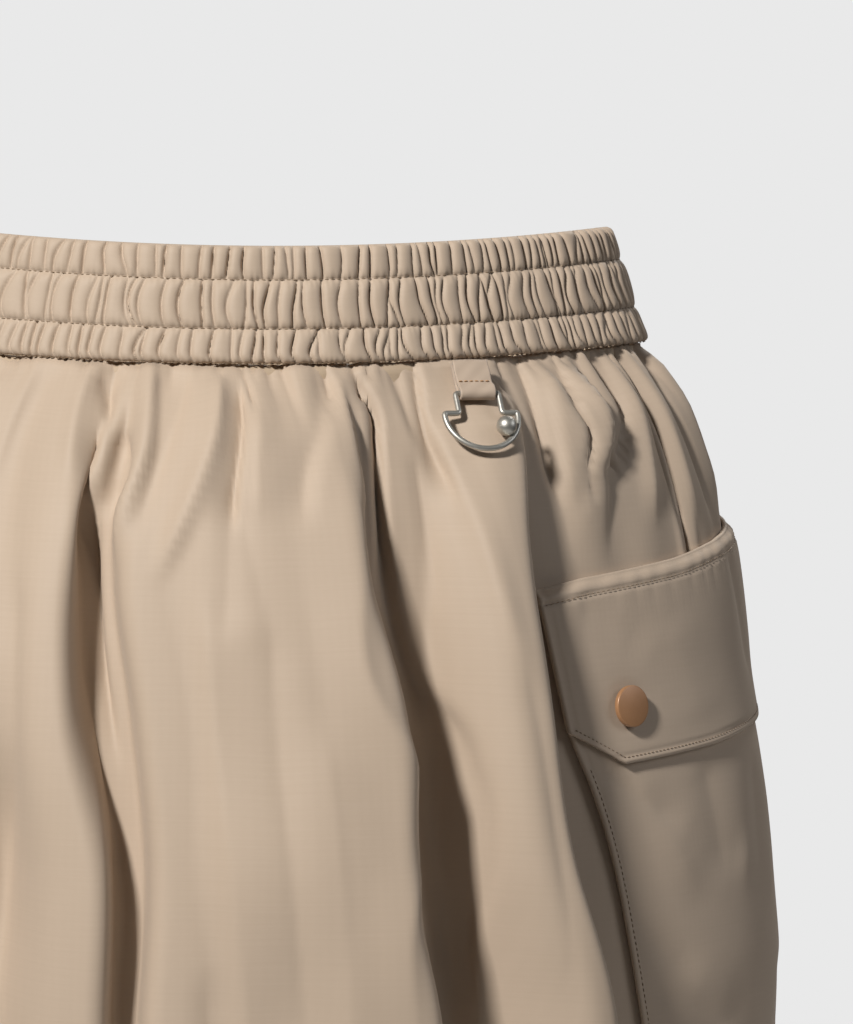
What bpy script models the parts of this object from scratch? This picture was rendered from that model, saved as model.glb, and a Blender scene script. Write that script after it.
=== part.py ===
"""Balloon skort with a shirred elastic waistband, cargo pockets and a metal ring on a tape.

The garment keeps the hollow form it has when worn. The front faces -Y, +X is the wearer's left
and the origin is the middle of the waist opening. Every piece of cloth is a wall of real
thickness, laid through rings that are worked out from the sizes below. A place on the garment
is a turn, in degrees round from the middle of the front, and a drop, in millimetres below the
upper edge.
"""
import math

import bmesh
import bpy
import numpy as np
from mathutils import Matrix, Vector

MM = 0.001

# ---- driving dimensions, in millimetres and degrees ----
BAND_HEIGHT = 41.0          # three elastic channels together
BAND_ROWS = (0.0, 11.2, 28.5, 41.0)      # upper edge, two rows of stitching, lower edge
BAND_INNER = 2.2            # from the cloth's middle line in to the plain inside of the band
BAND_OUTER = 0.6            # from the middle line out to the bottom of a crease
BAND_PUFF = 2.0             # how far a channel swells between its rows
BAND_PROFILE = ((0.1, 0.8), (0.75, 1), (0, 0.45), (1, 1), (0, 0.45), (0.75, 1), (0.1, 0.7))
                            # shares of the puff and of the gathers, at each row and between rows
GATHERS = 132               # gathers round the waistband
GATHER_SWAY = 0.32          # degrees that their crests wander to the sides
SWAY_PHASE, HEIGHT_PHASE = 2.4, 1.7      # how quickly the sway and the heights change
GATHER_RISE = 1.7           # height of a gather over its creases
GATHER_UNEVEN = 0.3         # share by which the heights differ
BAND_SHARP = 24.0           # angle in degrees above which its edges are creases
WAIST_DIP = 9.0             # how far the middle of the front and back hangs below the sides
DIP_FADE = 150.0            # drop at which the dip has evened out
DIP_SIDE = 0.1              # how far aside its lowest place is, as a share of the half width
SEAM_GAP = 0.3              # space between pieces that are sewn together
SEAM_EDGE = 0.4             # how far each panel stays back from the middle of the side seam
WALL = 1.2                  # thickness of the skirt's cloth
SHORTS_WALL = 1.0
PINCH = 0.30                # how much flatter the sides turn than an ellipse does
SIDE_SEAM = 66.0            # turn of the side seams, forward of the sides
SKIRT_TOP = BAND_HEIGHT + SEAM_GAP
SKIRT_EDGE = SKIRT_TOP + 0.6    # drop of the middle of the sloping upper edge
SKIRT_END = 398.0           # drop where the balloon has turned in to the hem band
HEM_HEIGHT = 14.0
PUCKERS = 46                # small gathers below the waist seam, all round
PUCKER_RISE = 1.3
PUCKER_START, PUCKER_FADE = 5.0, 40.0    # drops below the seam over which they rise and fade
PUCKER_DRIFT, DRIFT_WAVES = 1.3, 7       # how unevenly they are spaced, and how often it changes
HEM_WALL, HEM_TAPER = 2.4, 0.25          # thickness of the casing and its slant inwards
FOLD_START = 26.0           # drop below the seam over which the main folds rise
FOLD_END, FOLD_FADE = 370.0, 28.0        # drop where they begin to fade, and over how much
FOLD_LOSS = 0.75            # share of their height that is gone at the hem

SHORTS_END = 335.0
CROTCH_TOP, CROTCH_END = 130.0, 250.0
LEG_CLOSED = 0.985          # share of the full ring that a closed leg reaches round
SHORTS_EVEN = 60.0          # drop where the shorts' dip begins to even out, and over how much
LEG_SPREAD = 9.0            # distance of each inseam from the middle at the leg opening
SHORTS_RINGS = {"drop": (41.3, 60, 100, 160, 250, 335),
                "half_width": (146.0, 148, 151, 152, 151, 149),
                "half_depth": (86.6, 87, 88, 88, 88, 86)}

TAPE_TURN, TAPE_WIDTH, TAPE_PLY = 29.9, 12.5, 1.0
TAPE_CALM = 6.0             # degrees beside the tape without puckers
TAPE_PINCHED = 4.2          # height over the bar where the two plies come together
TAPE_STEPS = 8              # steps of the bend round the bar
TAPE_SETBACK = 0.15         # how far the tape's front ply lies in front of the bar's middle
RING_DROP = 56.0            # drop of the ring's upper bar
RING_OUT = 3.6              # distance of that bar from the cloth's middle line
RING_REST = 3.4             # the same for the bow, where the ring lies on the cloth
RING_REACH = 16.0           # how far below the bar that place is
RING_WIRE = 2.0
RING_BAR, RING_NECK = 15.4, 8.0                   # length of the bar and height of the necks
RING_BOW, RING_BOW_DEPTH = 13.0, 13.4             # half the width of the bow and its depth
RING_CORNER, BOW_STEPS = 0.9, 12                  # radius of the bends and steps of the bow
RING_HEADING = 14.0         # degrees that the bar is turned towards the wearer's left side
BEAD_RADIUS = 3.5
BEAD_ASIDE, BEAD_PROUD, BEAD_BELOW = 7.6, 1.8, 6.4   # its middle: aside, in front, below the neck
LOOP_ROOM = 0.3

SNAP_RADIUS, SNAP_FACE, SNAP_HEIGHT = 7.5, 6.45, 2.0
SNAP_ROOM = 0.35            # lets the flat back of a cap clear the curved flap
SNAP_SIDES = 24
POCKET_PUFF = 2.6
PUFF_DROPS = (151.0, 211.0, 257.0, 302.0)   # the bag swells between the first two, sinks in the last

# The plain form: half sizes of the cloth's middle line at each drop
RINGS = {"drop": (0, 41, 65, 90, 120, 170, 230, 290, 340, 380, 400),
         "half_width": (134, 148, 162, 171, 177, 184, 191, 194, 190, 177, 166),
         "half_depth": (80, 88, 98, 106, 112, 120, 127, 130, 125, 111, 101)}

# The main folds. Each has its crest's turn and its height at six drops, how far it spreads to
# the wearer's right and left, how far each flank hangs over, and how far the crest leans.
LEVELS = (60, 115, 165, 216, 265, 380)
FOLD_COLUMNS = ("name", "turn", "rise", "spread_low", "spread_high", "hang_low", "hang_high", "lean")
FOLDS = [
    ("centre_left_edge", (9.5, 9.6, 12.2, 12.1, 14.0, 15.0), (8, 17, 23, 26, 27, 9), 54, 16, 0, 0, 9),
    ("centre_right_edge", (-8.7, -9.6, -7.3, -5.7, -6.3, -8), (6, 12, 15, 16, 15, 7), 13, 46, 1, 0, 0),
    ("right_lobe", (-17.5, -20.6, -19.9, -16.2, -16.2, -16), (5, 16, 21, 20, 17, 6), 28, 15, 0, 0, 9),
    ("left_valley", (20, 18.5, 20, 21, 22, 23), (0, -2, -5, -8, -9, -2), 11, 10, 0, 0, 0),
    ("left_lobe", (32.0, 28.1, 27.8, 28.6, 32.1, 34), (8, 17, 23, 26, 27, 9), 22, 16, 0, 0, 9),
    ("left_hanging", (47, 44, 42, 42, 42, 42), (8, 0.3, 0, 0, 0, 0), 12, 11, 0, 3, 4),
    ("right_outer_lobe", (-34, -32, -31, -31, -33, -36), (3, 9, 15, 20, 21, 9), 19, 24, 6, 0, 0),
    ("right_hanging", (-48, -46, -45, -44, -44, -44), (6, 0.3, 0, 0, 0, 0), 12, 14, 4, 0, 0),
    ("side_left", (80, 82, 90, 94, 94, 94), (2, 1, 0, 0, 0, 4), 26, 22, 0, 0, 0),
    ("side_right", (-80, -82, -90, -92, -92, -92), (2, 1, 0, 0, 0, 5), 22, 26, 0, 0, 0),
    ("back_left_outer", (118, 119, 120, 122, 124, 124), (4, 8, 12, 16, 17, 8), 20, 26, 6, 0, 0),
    ("back_left_inner", (140, 141, 142, 143, 144, 146), (5, 10, 14, 18, 18, 8), 24, 22, 0, 8, 0),
    ("back_middle", (171, 169, 168, 169, 170, 172), (4, 9, 12, 15, 16, 7), 30, 28, 0, 0, 0),
    ("back_right_inner", (-147, -148, -149, -148, -146, -148), (5, 9, 13, 16, 17, 8), 22, 26, 8, 0, 0),
    ("back_right_outer", (-119, -119, -120, -122, -124, -126), (4, 8, 12, 15, 16, 8), 26, 20, 0, 4, 0),
]
CROWN = 1.5                 # above 1, a fold's crest is broader and its flanks steeper

# Outlines of the pockets on the wearer's left; the right ones mirror them
FLAP = {"turn": (34.3, 41.8, 60, 97, 107),
        "upper": (126, 122.5, 118, 105, 103),
        "lower": (175, 187.5, 184.5, 175, 162)}
FLAP_SLANT = 0.055          # degrees that the flap's front edge moves back for each millimetre down
BAG = {"drop": (141, 176, 193, 282, 302),
       "front": (36.6, 37.6, 39.8, 46.0, 47.4),
       "back": (105, 106, 106.5, 107.5, 108)}
BAG_OUT = WALL + 1.1        # middle of the bag's cloth over the middle of the skirt's
FLAP_SEWN = WALL + 0.8      # the same for the flap's sewn edge, and below it
FLAP_OUT = BAG_OUT + WALL + 0.9
FLAP_LIFT = 1 / 12          # share of the flap's height over which it rises off the sewn edge
SNAP_PLACES = ((46.2, 168.0), (100.0, 158.0))      # turn and drop of the two snaps on a flap

STEP_TURN, STEP_DROP = 0.3, 0.8          # steps over which the cloth's slope is measured
MEASURE_POINTS = 1441       # points at which a ring's length is measured

# number of columns and the drops of the rows that each cloth is made with
FRONT_COLUMNS, BACK_COLUMNS, HEM_STEP = 102, 66, 6
SHORTS_COLUMNS, BAG_COLUMNS, BAG_ROWS, FLAP_COLUMNS = 19, 15, 8, 12
FLAP_ROWS = (0, 0.085, 0.24, 0.42, 0.7, 1)
FRONT_DROPS = (SKIRT_EDGE, 50, 61, 76, 97, 128, 168, 215, 262, 308, 346, 376, SKIRT_END)
BACK_DROPS = (SKIRT_EDGE, 52, 70, 100, 145, 195, 245, 300, 346, 376, SKIRT_END)
SHORTS_DROPS = (SKIRT_EDGE, 75, 130, 160, 190, 220, 250, 295, SHORTS_END)


# ---- the shape of the garment ----
def smooth_line(knots, values, at):
    """Value at a place on the smooth line through the knots."""
    knots, values = np.asarray(knots, float), np.asarray(values, float)
    slopes = np.gradient(values, knots)
    at = np.clip(at, knots[0], knots[-1])
    low = np.clip(np.searchsorted(knots, at) - 1, 0, len(knots) - 2)
    width = knots[low + 1] - knots[low]
    u = (at - knots[low]) / width
    return ((1 + 2 * u) * (1 - u) ** 2 * values[low] + u * (1 - u) ** 2 * width * slopes[low]
            + u * u * (3 - 2 * u) * values[low + 1] - u * u * (1 - u) * width * slopes[low + 1])


def ease(value):
    """Smooth step from 0 to 1."""
    value = np.clip(value, 0.0, 1.0)
    return value * value * (3 - 2 * value)


def ring_place(turn, half_width, half_depth):
    """Point on a plain ring, its outward direction and its direction of growing turn."""
    angle = np.radians(turn)
    sine, cosine = np.sin(angle), np.cos(angle)
    x = half_width * sine
    y = -half_depth * cosine * (1 - PINCH * sine ** 2)
    dx = half_width * cosine
    dy = half_depth * sine * (1 - PINCH * sine ** 2 + 2 * PINCH * cosine ** 2)
    length = np.hypot(dx, dy)
    return x, y, (dy / length, -dx / length), (dx / length, dy / length), length


def fold_shift(turn, drop, stride):
    """How far the folds move the cloth outwards and sideways, in millimetres."""
    out, along = np.zeros_like(turn), np.zeros_like(turn)
    start = ease((drop - SKIRT_TOP) / FOLD_START)
    end = 1 - FOLD_LOSS * ease((drop - FOLD_END) / FOLD_FADE)
    for row in FOLDS:
        fold = dict(zip(FOLD_COLUMNS, row))
        centre = smooth_line(LEVELS, fold["turn"], drop)
        rise = smooth_line(LEVELS, fold["rise"], drop) * start * end
        gap = np.radians((turn - centre + 180) % 360 - 180) * stride
        low, high = gap / fold["spread_low"], gap / fold["spread_high"]
        share = np.where(gap < 0, low, high)
        inside = np.abs(share) < 1
        bump = np.where(inside, 0.5 + 0.5 * np.cos(np.pi * np.abs(share) ** CROWN), 0)
        hang = np.where(gap < 0, -fold["hang_low"], fold["hang_high"])
        grown = rise / max(map(abs, fold["rise"]))
        out += rise * bump
        along += grown * (fold["lean"] * bump + np.where(inside, hang * np.sin(np.pi * share) ** 2, 0))
    fade = 1 - ease((drop - SKIRT_TOP) / PUCKER_FADE)
    angle = np.radians(turn)
    wave = np.sin(angle * PUCKERS + PUCKER_DRIFT * np.sin(angle * DRIFT_WAVES))
    flat = 1 - np.exp(-((turn - TAPE_TURN) / TAPE_CALM) ** 2)
    out += PUCKER_RISE * fade * ease((drop - SKIRT_TOP) / PUCKER_START) * wave * flat
    return out, along


def waist_dip(turn, drop):
    """How far the edge hangs at this turn; it evens out on the way down."""
    aside = np.sin(np.radians(turn)) - DIP_SIDE
    return WAIST_DIP * (1 - aside ** 2) * (1 - ease(drop / DIP_FADE))


def skirt(turn, drop):
    """Points on the middle of the skirt's cloth, in millimetres."""
    turn, drop = np.broadcast_arrays(np.asarray(turn, float), np.asarray(drop, float))
    half_width = smooth_line(RINGS["drop"], RINGS["half_width"], drop)
    half_depth = smooth_line(RINGS["drop"], RINGS["half_depth"], drop)
    x, y, outward, sideways, stride = ring_place(turn, half_width, half_depth)
    out, along = fold_shift(turn, drop, stride)
    z = -drop - waist_dip(turn, drop)
    return np.stack([x + outward[0] * out + sideways[0] * along,
                     y + outward[1] * out + sideways[1] * along, z], axis=-1)


def skirt_out(turn, drop, out):
    """Points at a distance outside the middle of the skirt's cloth."""
    turn, drop, out = np.broadcast_arrays(np.asarray(turn, float), np.asarray(drop, float),
                                          np.asarray(out, float))
    across = skirt(turn + STEP_TURN, drop) - skirt(turn - STEP_TURN, drop)
    down = skirt(turn, drop + STEP_DROP) - skirt(turn, drop - STEP_DROP)
    normal = np.cross(down, across)
    normal /= np.linalg.norm(normal, axis=-1, keepdims=True)
    return skirt(turn, drop) + normal * out[..., None]


# ---- making objects ----
def clear_scene():
    """Removes every object that a new file starts with."""
    for thing in list(bpy.data.objects):
        bpy.data.objects.remove(thing, do_unlink=True)


def make_material(name, colour, roughness, metallic=0.0):
    """Plain material of one colour."""
    material = bpy.data.materials.new(name)
    material.use_nodes = True
    shader = material.node_tree.nodes["Principled BSDF"]
    shader.inputs["Base Color"].default_value = (*colour, 1)
    shader.inputs["Roughness"].default_value = roughness
    shader.inputs["Metallic"].default_value = metallic
    return material


def put_in(collection, name, mesh, material):
    """Object of this mesh and material, linked to the collection."""
    thing = bpy.data.objects.new(name, mesh)
    mesh.materials.append(material)
    collection.objects.link(thing)
    return thing


def net_mesh(name, points, wrap_columns=False, wrap_rows=False):
    """Mesh on a grid of points, given in millimetres as rows of columns."""
    rows, columns = points.shape[:2]
    mesh = bpy.data.meshes.new(name)
    net = bmesh.new()
    bmesh.ops.create_grid(net, x_segments=columns - 1 + wrap_columns,
                          y_segments=rows - 1 + wrap_rows, size=1)
    net.verts.ensure_lookup_table()
    wide = columns + wrap_columns
    for number, vert in enumerate(net.verts):
        row, column = divmod(number, wide)
        vert.co = Vector(points[row % rows, column % columns]) * MM
    if wrap_columns or wrap_rows:
        bmesh.ops.remove_doubles(net, verts=net.verts, dist=1e-6)
    bmesh.ops.recalc_face_normals(net, faces=net.faces)
    net.to_mesh(mesh)
    net.free()
    mesh.shade_smooth()
    return mesh


def add_wall(thing, thickness):
    """Gives the cloth its thickness, half to each side of the points it was made from."""
    solid = thing.modifiers.new("wall", "SOLIDIFY")
    solid.thickness = thickness * MM
    solid.offset = 0.0


def grid_of(turns, drops):
    """Two tables, of turns and of drops, with a row for each drop."""
    return np.meshgrid(np.asarray(turns, float), np.asarray(drops, float))


# ---- cloth ----
def band_section(turn, crest):
    """Closed outline of the waistband at each turn, from the inner upper edge round."""
    rows = []
    for number, (puff, relief) in enumerate(BAND_PROFILE):
        drop = (BAND_ROWS[number // 2] + BAND_ROWS[(number + 1) // 2]) / 2
        rows.append((drop, BAND_OUTER + BAND_PUFF * puff + GATHER_RISE * relief * crest))
    rows.append((BAND_ROWS[3], np.full_like(turn, -BAND_INNER)))
    rows.append((BAND_ROWS[0], np.full_like(turn, -BAND_INNER)))
    section = []
    for drop, out in rows:
        half_width = smooth_line(RINGS["drop"], RINGS["half_width"], drop)
        half_depth = smooth_line(RINGS["drop"], RINGS["half_depth"], drop)
        x, y, outward, _, _ = ring_place(turn, half_width, half_depth)
        z = -drop - waist_dip(turn, drop)
        section.append(np.stack([x + outward[0] * out, y + outward[1] * out, z], axis=-1))
    return np.array(section)


def turns_by_length(count, half_width, half_depth):
    """Turns that cut a ring into equal lengths of cloth."""
    fine = np.linspace(-180, 180, MEASURE_POINTS)
    x, y, _, _, _ = ring_place(fine, half_width, half_depth)
    length = np.concatenate([[0], np.cumsum(np.hypot(np.diff(x), np.diff(y)))])
    return np.interp(np.arange(count) / count * length[-1], length, fine)


def make_waistband(collection, cloth):
    """Gathered ring of cloth over elastic, swollen between its rows of stitching."""
    turn = turns_by_length(2 * GATHERS, RINGS["half_width"][0], RINGS["half_depth"][0])
    crest = np.arange(2 * GATHERS) % 2
    gather = np.arange(2 * GATHERS) // 2
    turn = turn + GATHER_SWAY * np.sin(gather * SWAY_PHASE) * crest
    height = 1 + GATHER_UNEVEN * np.sin(gather * HEIGHT_PHASE)
    mesh = net_mesh("waistband", band_section(turn, crest * height), True, True)
    mesh.set_sharp_from_angle(angle=math.radians(BAND_SHARP))
    put_in(collection, "waistband", mesh, cloth)


def make_skirt_panel(collection, cloth, name, first, last, columns, drops):
    """Panel between two side seams, from the waist seam to the hem band."""
    edge = math.degrees(SEAM_EDGE / RINGS["half_depth"][2])
    turns = np.linspace(first + edge, last - edge, columns + 1)
    turn, drop = grid_of(turns, drops)
    thing = put_in(collection, name, net_mesh(name, skirt(turn, drop)), cloth)
    add_wall(thing, WALL)


def make_hem_band(collection, cloth):
    """Casing that draws the balloon in."""
    turns = np.arange(0, 360, HEM_STEP)
    drops = (SKIRT_END + SEAM_GAP, SKIRT_END + HEM_HEIGHT)
    turn, drop = grid_of(turns, drops)
    taper = HEM_TAPER * (drop - SKIRT_END)
    x, y, _, _, _ = ring_place(turn, RINGS["half_width"][-1] - taper, RINGS["half_depth"][-1] - taper)
    points = np.stack([x, y, -drop], axis=-1)
    thing = put_in(collection, "hem_band", net_mesh("hem_band", points, wrap_columns=True), cloth)
    add_wall(thing, HEM_WALL)


def make_shorts_leg(collection, cloth, name, side):
    """One leg of the inner shorts: a single panel whose edges meet at the middle and inseam."""
    share, drop = np.meshgrid(np.linspace(0, 1, SHORTS_COLUMNS), np.asarray(SHORTS_DROPS, float))
    half_width = smooth_line(SHORTS_RINGS["drop"], SHORTS_RINGS["half_width"], drop)
    half_depth = smooth_line(SHORTS_RINGS["drop"], SHORTS_RINGS["half_depth"], drop)
    closing = 90 * ease((drop - CROTCH_TOP) / (CROTCH_END - CROTCH_TOP))
    rolled = closing * LEG_CLOSED
    start, finish = np.radians(-rolled), np.radians(180 + rolled)
    angle = start + (finish - start) * share
    parted = LEG_SPREAD * ease((drop - CROTCH_END) / (SHORTS_END - CROTCH_END))
    middle_gap = (SEAM_GAP + SHORTS_WALL * closing / 90) / 2 + parted
    radius = (half_width - middle_gap) / (1 - np.sin(start))
    x = middle_gap - radius * np.sin(start) + radius * np.sin(angle)
    pinch = 1 - PINCH * np.clip(np.sin(angle), 0, 1) ** 2
    y = -half_depth * np.cos(angle) * pinch
    evened = 1 - ease((drop - SHORTS_EVEN) / SHORTS_EVEN)
    z = -drop - waist_dip(side * np.degrees(angle), drop) * evened
    thing = put_in(collection, name, net_mesh(name, np.stack([side * x, y, z], axis=-1)), cloth)
    add_wall(thing, SHORTS_WALL)


def bag_puff(share, drop):
    """Swelling of the bag below its flap."""
    risen = ease((drop - PUFF_DROPS[0]) / (PUFF_DROPS[1] - PUFF_DROPS[0]))
    sunk = ease((drop - PUFF_DROPS[2]) / (PUFF_DROPS[3] - PUFF_DROPS[2]))
    return POCKET_PUFF * np.sin(np.pi * share) * risen * (1 - sunk)


def make_bag(collection, cloth, name, side):
    """Pocket bag that lies on the skirt, over the side."""
    share, drop = np.meshgrid(np.linspace(0, 1, BAG_COLUMNS),
                              np.linspace(BAG["drop"][0], BAG["drop"][-1], BAG_ROWS))
    front = smooth_line(BAG["drop"], BAG["front"], drop)
    back = smooth_line(BAG["drop"], BAG["back"], drop)
    points = side_points(front + (back - front) * share, drop, BAG_OUT + bag_puff(share, drop), side)
    thing = put_in(collection, name, net_mesh(name, points), cloth)
    add_wall(thing, WALL)


def side_points(turn, drop, out, side):
    """Points outside the cloth at a turn on the wearer's left, or at that turn on the right."""
    return skirt_out(side * turn, drop, out)


def flap_place(share, down):
    """Turn and drop of a place on a flap, from shares of its width and height."""
    turn = FLAP["turn"][0] + (FLAP["turn"][-1] - FLAP["turn"][0]) * share
    upper, lower = (np.interp(turn, FLAP["turn"], FLAP[edge]) for edge in ("upper", "lower"))
    drop = upper + (lower - upper) * down
    return turn + FLAP_SLANT * (drop - upper) * (1 - share), drop


def flap_out(share, down, drop):
    """Height of the flap's middle over the skirt's: sewn down above, over the bag below."""
    return FLAP_SEWN + (FLAP_OUT - FLAP_SEWN) * ease(down / FLAP_LIFT) + bag_puff(share, drop)


def make_flap(collection, cloth, name, side):
    """Flap with a cut-off corner, sewn to the skirt above the bag."""
    width = FLAP["turn"][-1] - FLAP["turn"][0]
    corners = [(turn - FLAP["turn"][0]) / width for turn in FLAP["turn"]]
    shares = sorted(set(np.round(list(np.linspace(0, 1, FLAP_COLUMNS)) + corners, 4)))
    share, down = np.meshgrid(shares, FLAP_ROWS)
    turn, drop = flap_place(share, down)
    points = side_points(turn, drop, flap_out(share, down, drop), side)
    thing = put_in(collection, name, net_mesh(name, points), cloth)
    add_wall(thing, WALL)


# ---- metal ----
def make_snap(collection, metal, name, side, turn, drop):
    """Cap of a press stud with a slanted rim, seated on the flap."""
    share = (turn - FLAP["turn"][0]) / (FLAP["turn"][-1] - FLAP["turn"][0])
    seat = FLAP_OUT + bag_puff(share, drop) + WALL / 2 + SEAM_GAP + SNAP_ROOM
    centre = side_points(turn, drop, seat, side)
    above = side_points(turn, drop, seat + 1, side)
    normal = Vector(above - centre).normalized()
    mesh = bpy.data.meshes.new(name)
    cap = bmesh.new()
    bmesh.ops.create_cone(cap, cap_ends=True, cap_tris=False, segments=SNAP_SIDES,
                          radius1=SNAP_RADIUS * MM, radius2=SNAP_FACE * MM, depth=SNAP_HEIGHT * MM)
    cap.to_mesh(mesh)
    cap.free()
    turned = normal.to_track_quat("Z", "Y").to_matrix().to_4x4()
    place = Matrix.Translation(Vector(centre) * MM) @ turned
    mesh.transform(Matrix.Translation((0, 0, SNAP_HEIGHT / 2 * MM)))
    thing = put_in(collection, name, mesh, metal)
    thing.matrix_world = place


def bar_frame(upper, lower):
    """Place of the ring's upper bar, leaning from one point of the cloth towards another.

    Its x runs along the bar, its -y away from the cloth and its z up.
    """
    centre = skirt_out(TAPE_TURN, RING_DROP, RING_OUT)
    heading = math.radians(RING_HEADING)
    fall = lower - upper
    lean = math.atan2(fall[0] * math.sin(heading) - fall[1] * math.cos(heading), -fall[2])
    return (Matrix.Translation(Vector(centre) * MM) @ Matrix.Rotation(heading, 4, "Z")
            @ Matrix.Rotation(-lean, 4, "X"))


def tape_frame():
    """Place of the bar, leaning as the tape hangs from the waist seam."""
    seam = skirt_out(TAPE_TURN, SKIRT_EDGE, RING_OUT)
    return bar_frame(seam, skirt_out(TAPE_TURN, RING_DROP, RING_OUT))


def ring_frame():
    """Place of the bar, leaning as the ring lies on the cloth."""
    bow = skirt_out(TAPE_TURN, RING_DROP + RING_REACH, RING_REST)
    return bar_frame(skirt_out(TAPE_TURN, RING_DROP, RING_OUT), bow)


def make_tape(collection, cloth):
    """Tape folded round the bar, both ends caught in the waist seam."""
    inner = RING_WIRE / 2 + LOOP_ROOM
    middle = inner + TAPE_PLY / 2
    frame = tape_frame()
    seam_height = -SKIRT_TOP - waist_dip(TAPE_TURN, SKIRT_TOP) - SEAM_GAP
    seam = (seam_height - frame.translation.z / MM) / frame.col[2].z
    front = middle - TAPE_PLY - TAPE_PLY / 2 - TAPE_SETBACK
    path = [(-front, seam), (-front, TAPE_PINCHED), (-middle * 0.8, TAPE_PINCHED / 2)]
    for step in range(TAPE_STEPS + 1):
        bend = math.pi * step / TAPE_STEPS
        path.append((-middle * math.cos(bend), -middle * math.sin(bend)))
    path += [(middle, TAPE_PINCHED * 0.7), (middle, seam)]
    points = np.array([[(x, y, z) for y, z in path]
                       for x in (-TAPE_WIDTH / 2, 0, TAPE_WIDTH / 2)], float)
    thing = put_in(collection, "ring_tape", net_mesh("ring_tape", points), cloth)
    add_wall(thing, TAPE_PLY)
    thing.matrix_world = frame


def make_ring(collection, metal):
    """Bent wire: upper bar, two necks, shoulders and a half-round bow, with a plain bead."""
    bar, bow = RING_BAR / 2, RING_BOW
    corner = RING_CORNER
    path = [(-bar + corner, 0), (0, 0), (bar - corner, 0), (bar, -corner), (bar, -RING_NECK + corner),
            (bar + corner, -RING_NECK), (bow - corner, -RING_NECK)]
    for step in range(BOW_STEPS + 1):
        bend = math.pi * step / BOW_STEPS
        path.append((bow * math.cos(bend), -RING_NECK - corner - RING_BOW_DEPTH * math.sin(bend)))
    path += [(-bow + corner, -RING_NECK), (-bar - corner, -RING_NECK), (-bar, -RING_NECK + corner),
             (-bar, -corner)]
    curve = bpy.data.curves.new("d_ring_wire", "CURVE")
    curve.dimensions = "3D"
    curve.bevel_depth = RING_WIRE / 2 * MM
    curve.bevel_resolution = 2
    spline = curve.splines.new("POLY")
    spline.points.add(len(path) - 1)
    for point, (x, z) in zip(spline.points, path):
        point.co = (x * MM, 0, z * MM, 1)
    spline.use_cyclic_u = True
    wire = bpy.data.objects.new("d_ring_wire", curve)
    collection.objects.link(wire)
    bpy.context.view_layer.update()
    evaluated = wire.evaluated_get(bpy.context.evaluated_depsgraph_get())
    mesh = bpy.data.meshes.new_from_object(evaluated)
    bpy.data.objects.remove(wire, do_unlink=True)
    mesh.name = "d_ring"
    mesh.materials.clear()
    ring = put_in(collection, "d_ring", mesh, metal)
    ring.matrix_world = ring_frame()
    return ring


def make_bead(cutters, ring):
    """The bead is one piece with the wire, at the corner of the wearer's-left neck."""
    mesh = bpy.data.meshes.new("bead_form")
    ball = bmesh.new()
    bmesh.ops.create_uvsphere(ball, u_segments=14, v_segments=9, radius=BEAD_RADIUS * MM)
    ball.to_mesh(mesh)
    ball.free()
    bead = bpy.data.objects.new("bead_form", mesh)
    cutters.objects.link(bead)
    shift = Vector((BEAD_ASIDE, -BEAD_PROUD, -RING_NECK - BEAD_BELOW)) * MM
    bead.matrix_world = ring_frame() @ Matrix.Translation(shift)
    bead.hide_render = True
    bead.display_type = "WIRE"
    join = ring.modifiers.new("bead", "BOOLEAN")
    join.operation = "UNION"
    join.object = bead


# ---- the whole garment ----
def main():
    """Makes every piece of the garment."""
    clear_scene()
    garment = bpy.data.collections.new("balloon_skort")
    cutters = bpy.data.collections.new("cutters")
    for collection in (garment, cutters):
        bpy.context.scene.collection.children.link(collection)
    cloth = make_material("tan_cloth", (0.45, 0.34, 0.24), 0.55)
    lining = make_material("shorts_cloth", (0.42, 0.32, 0.23), 0.6)
    nickel = make_material("brushed_nickel", (0.55, 0.54, 0.5), 0.35, 1.0)
    copper = make_material("copper_enamel", (0.5, 0.25, 0.11), 0.3, 0.2)

    make_waistband(garment, cloth)
    make_skirt_panel(garment, cloth, "skirt_front", -SIDE_SEAM, SIDE_SEAM, FRONT_COLUMNS, FRONT_DROPS)
    make_skirt_panel(garment, cloth, "skirt_back", SIDE_SEAM, 360 - SIDE_SEAM, BACK_COLUMNS, BACK_DROPS)
    make_hem_band(garment, cloth)
    for word, side in (("left", 1), ("right", -1)):
        make_shorts_leg(garment, lining, f"shorts_{word}", side)
        make_bag(garment, cloth, f"pocket_bag_{word}", side)
        make_flap(garment, cloth, f"pocket_flap_{word}", side)
        for place, (turn, drop) in zip(("front", "back"), SNAP_PLACES):
            make_snap(garment, copper, f"snap_{word}_{place}", side, turn, drop)
    make_tape(garment, cloth)
    make_bead(cutters, make_ring(garment, nickel))


main()
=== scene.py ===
# %% [markdown]
# # A balloon skort in tan taffeta
#
# The real garment is a full skirt gathered on to a shirred elastic waistband, drawn in again at
# the hem, with shorts inside, two cargo pockets and a ring on a tape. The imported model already
# fixes its size. Here each piece of cloth gets its creases, each seam its stitches and each
# fitting its metal. The frame is loaded first, because all the pieces are placed in it.

import math

import bpy
import numpy as np
from mathutils import Matrix, Vector


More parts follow.
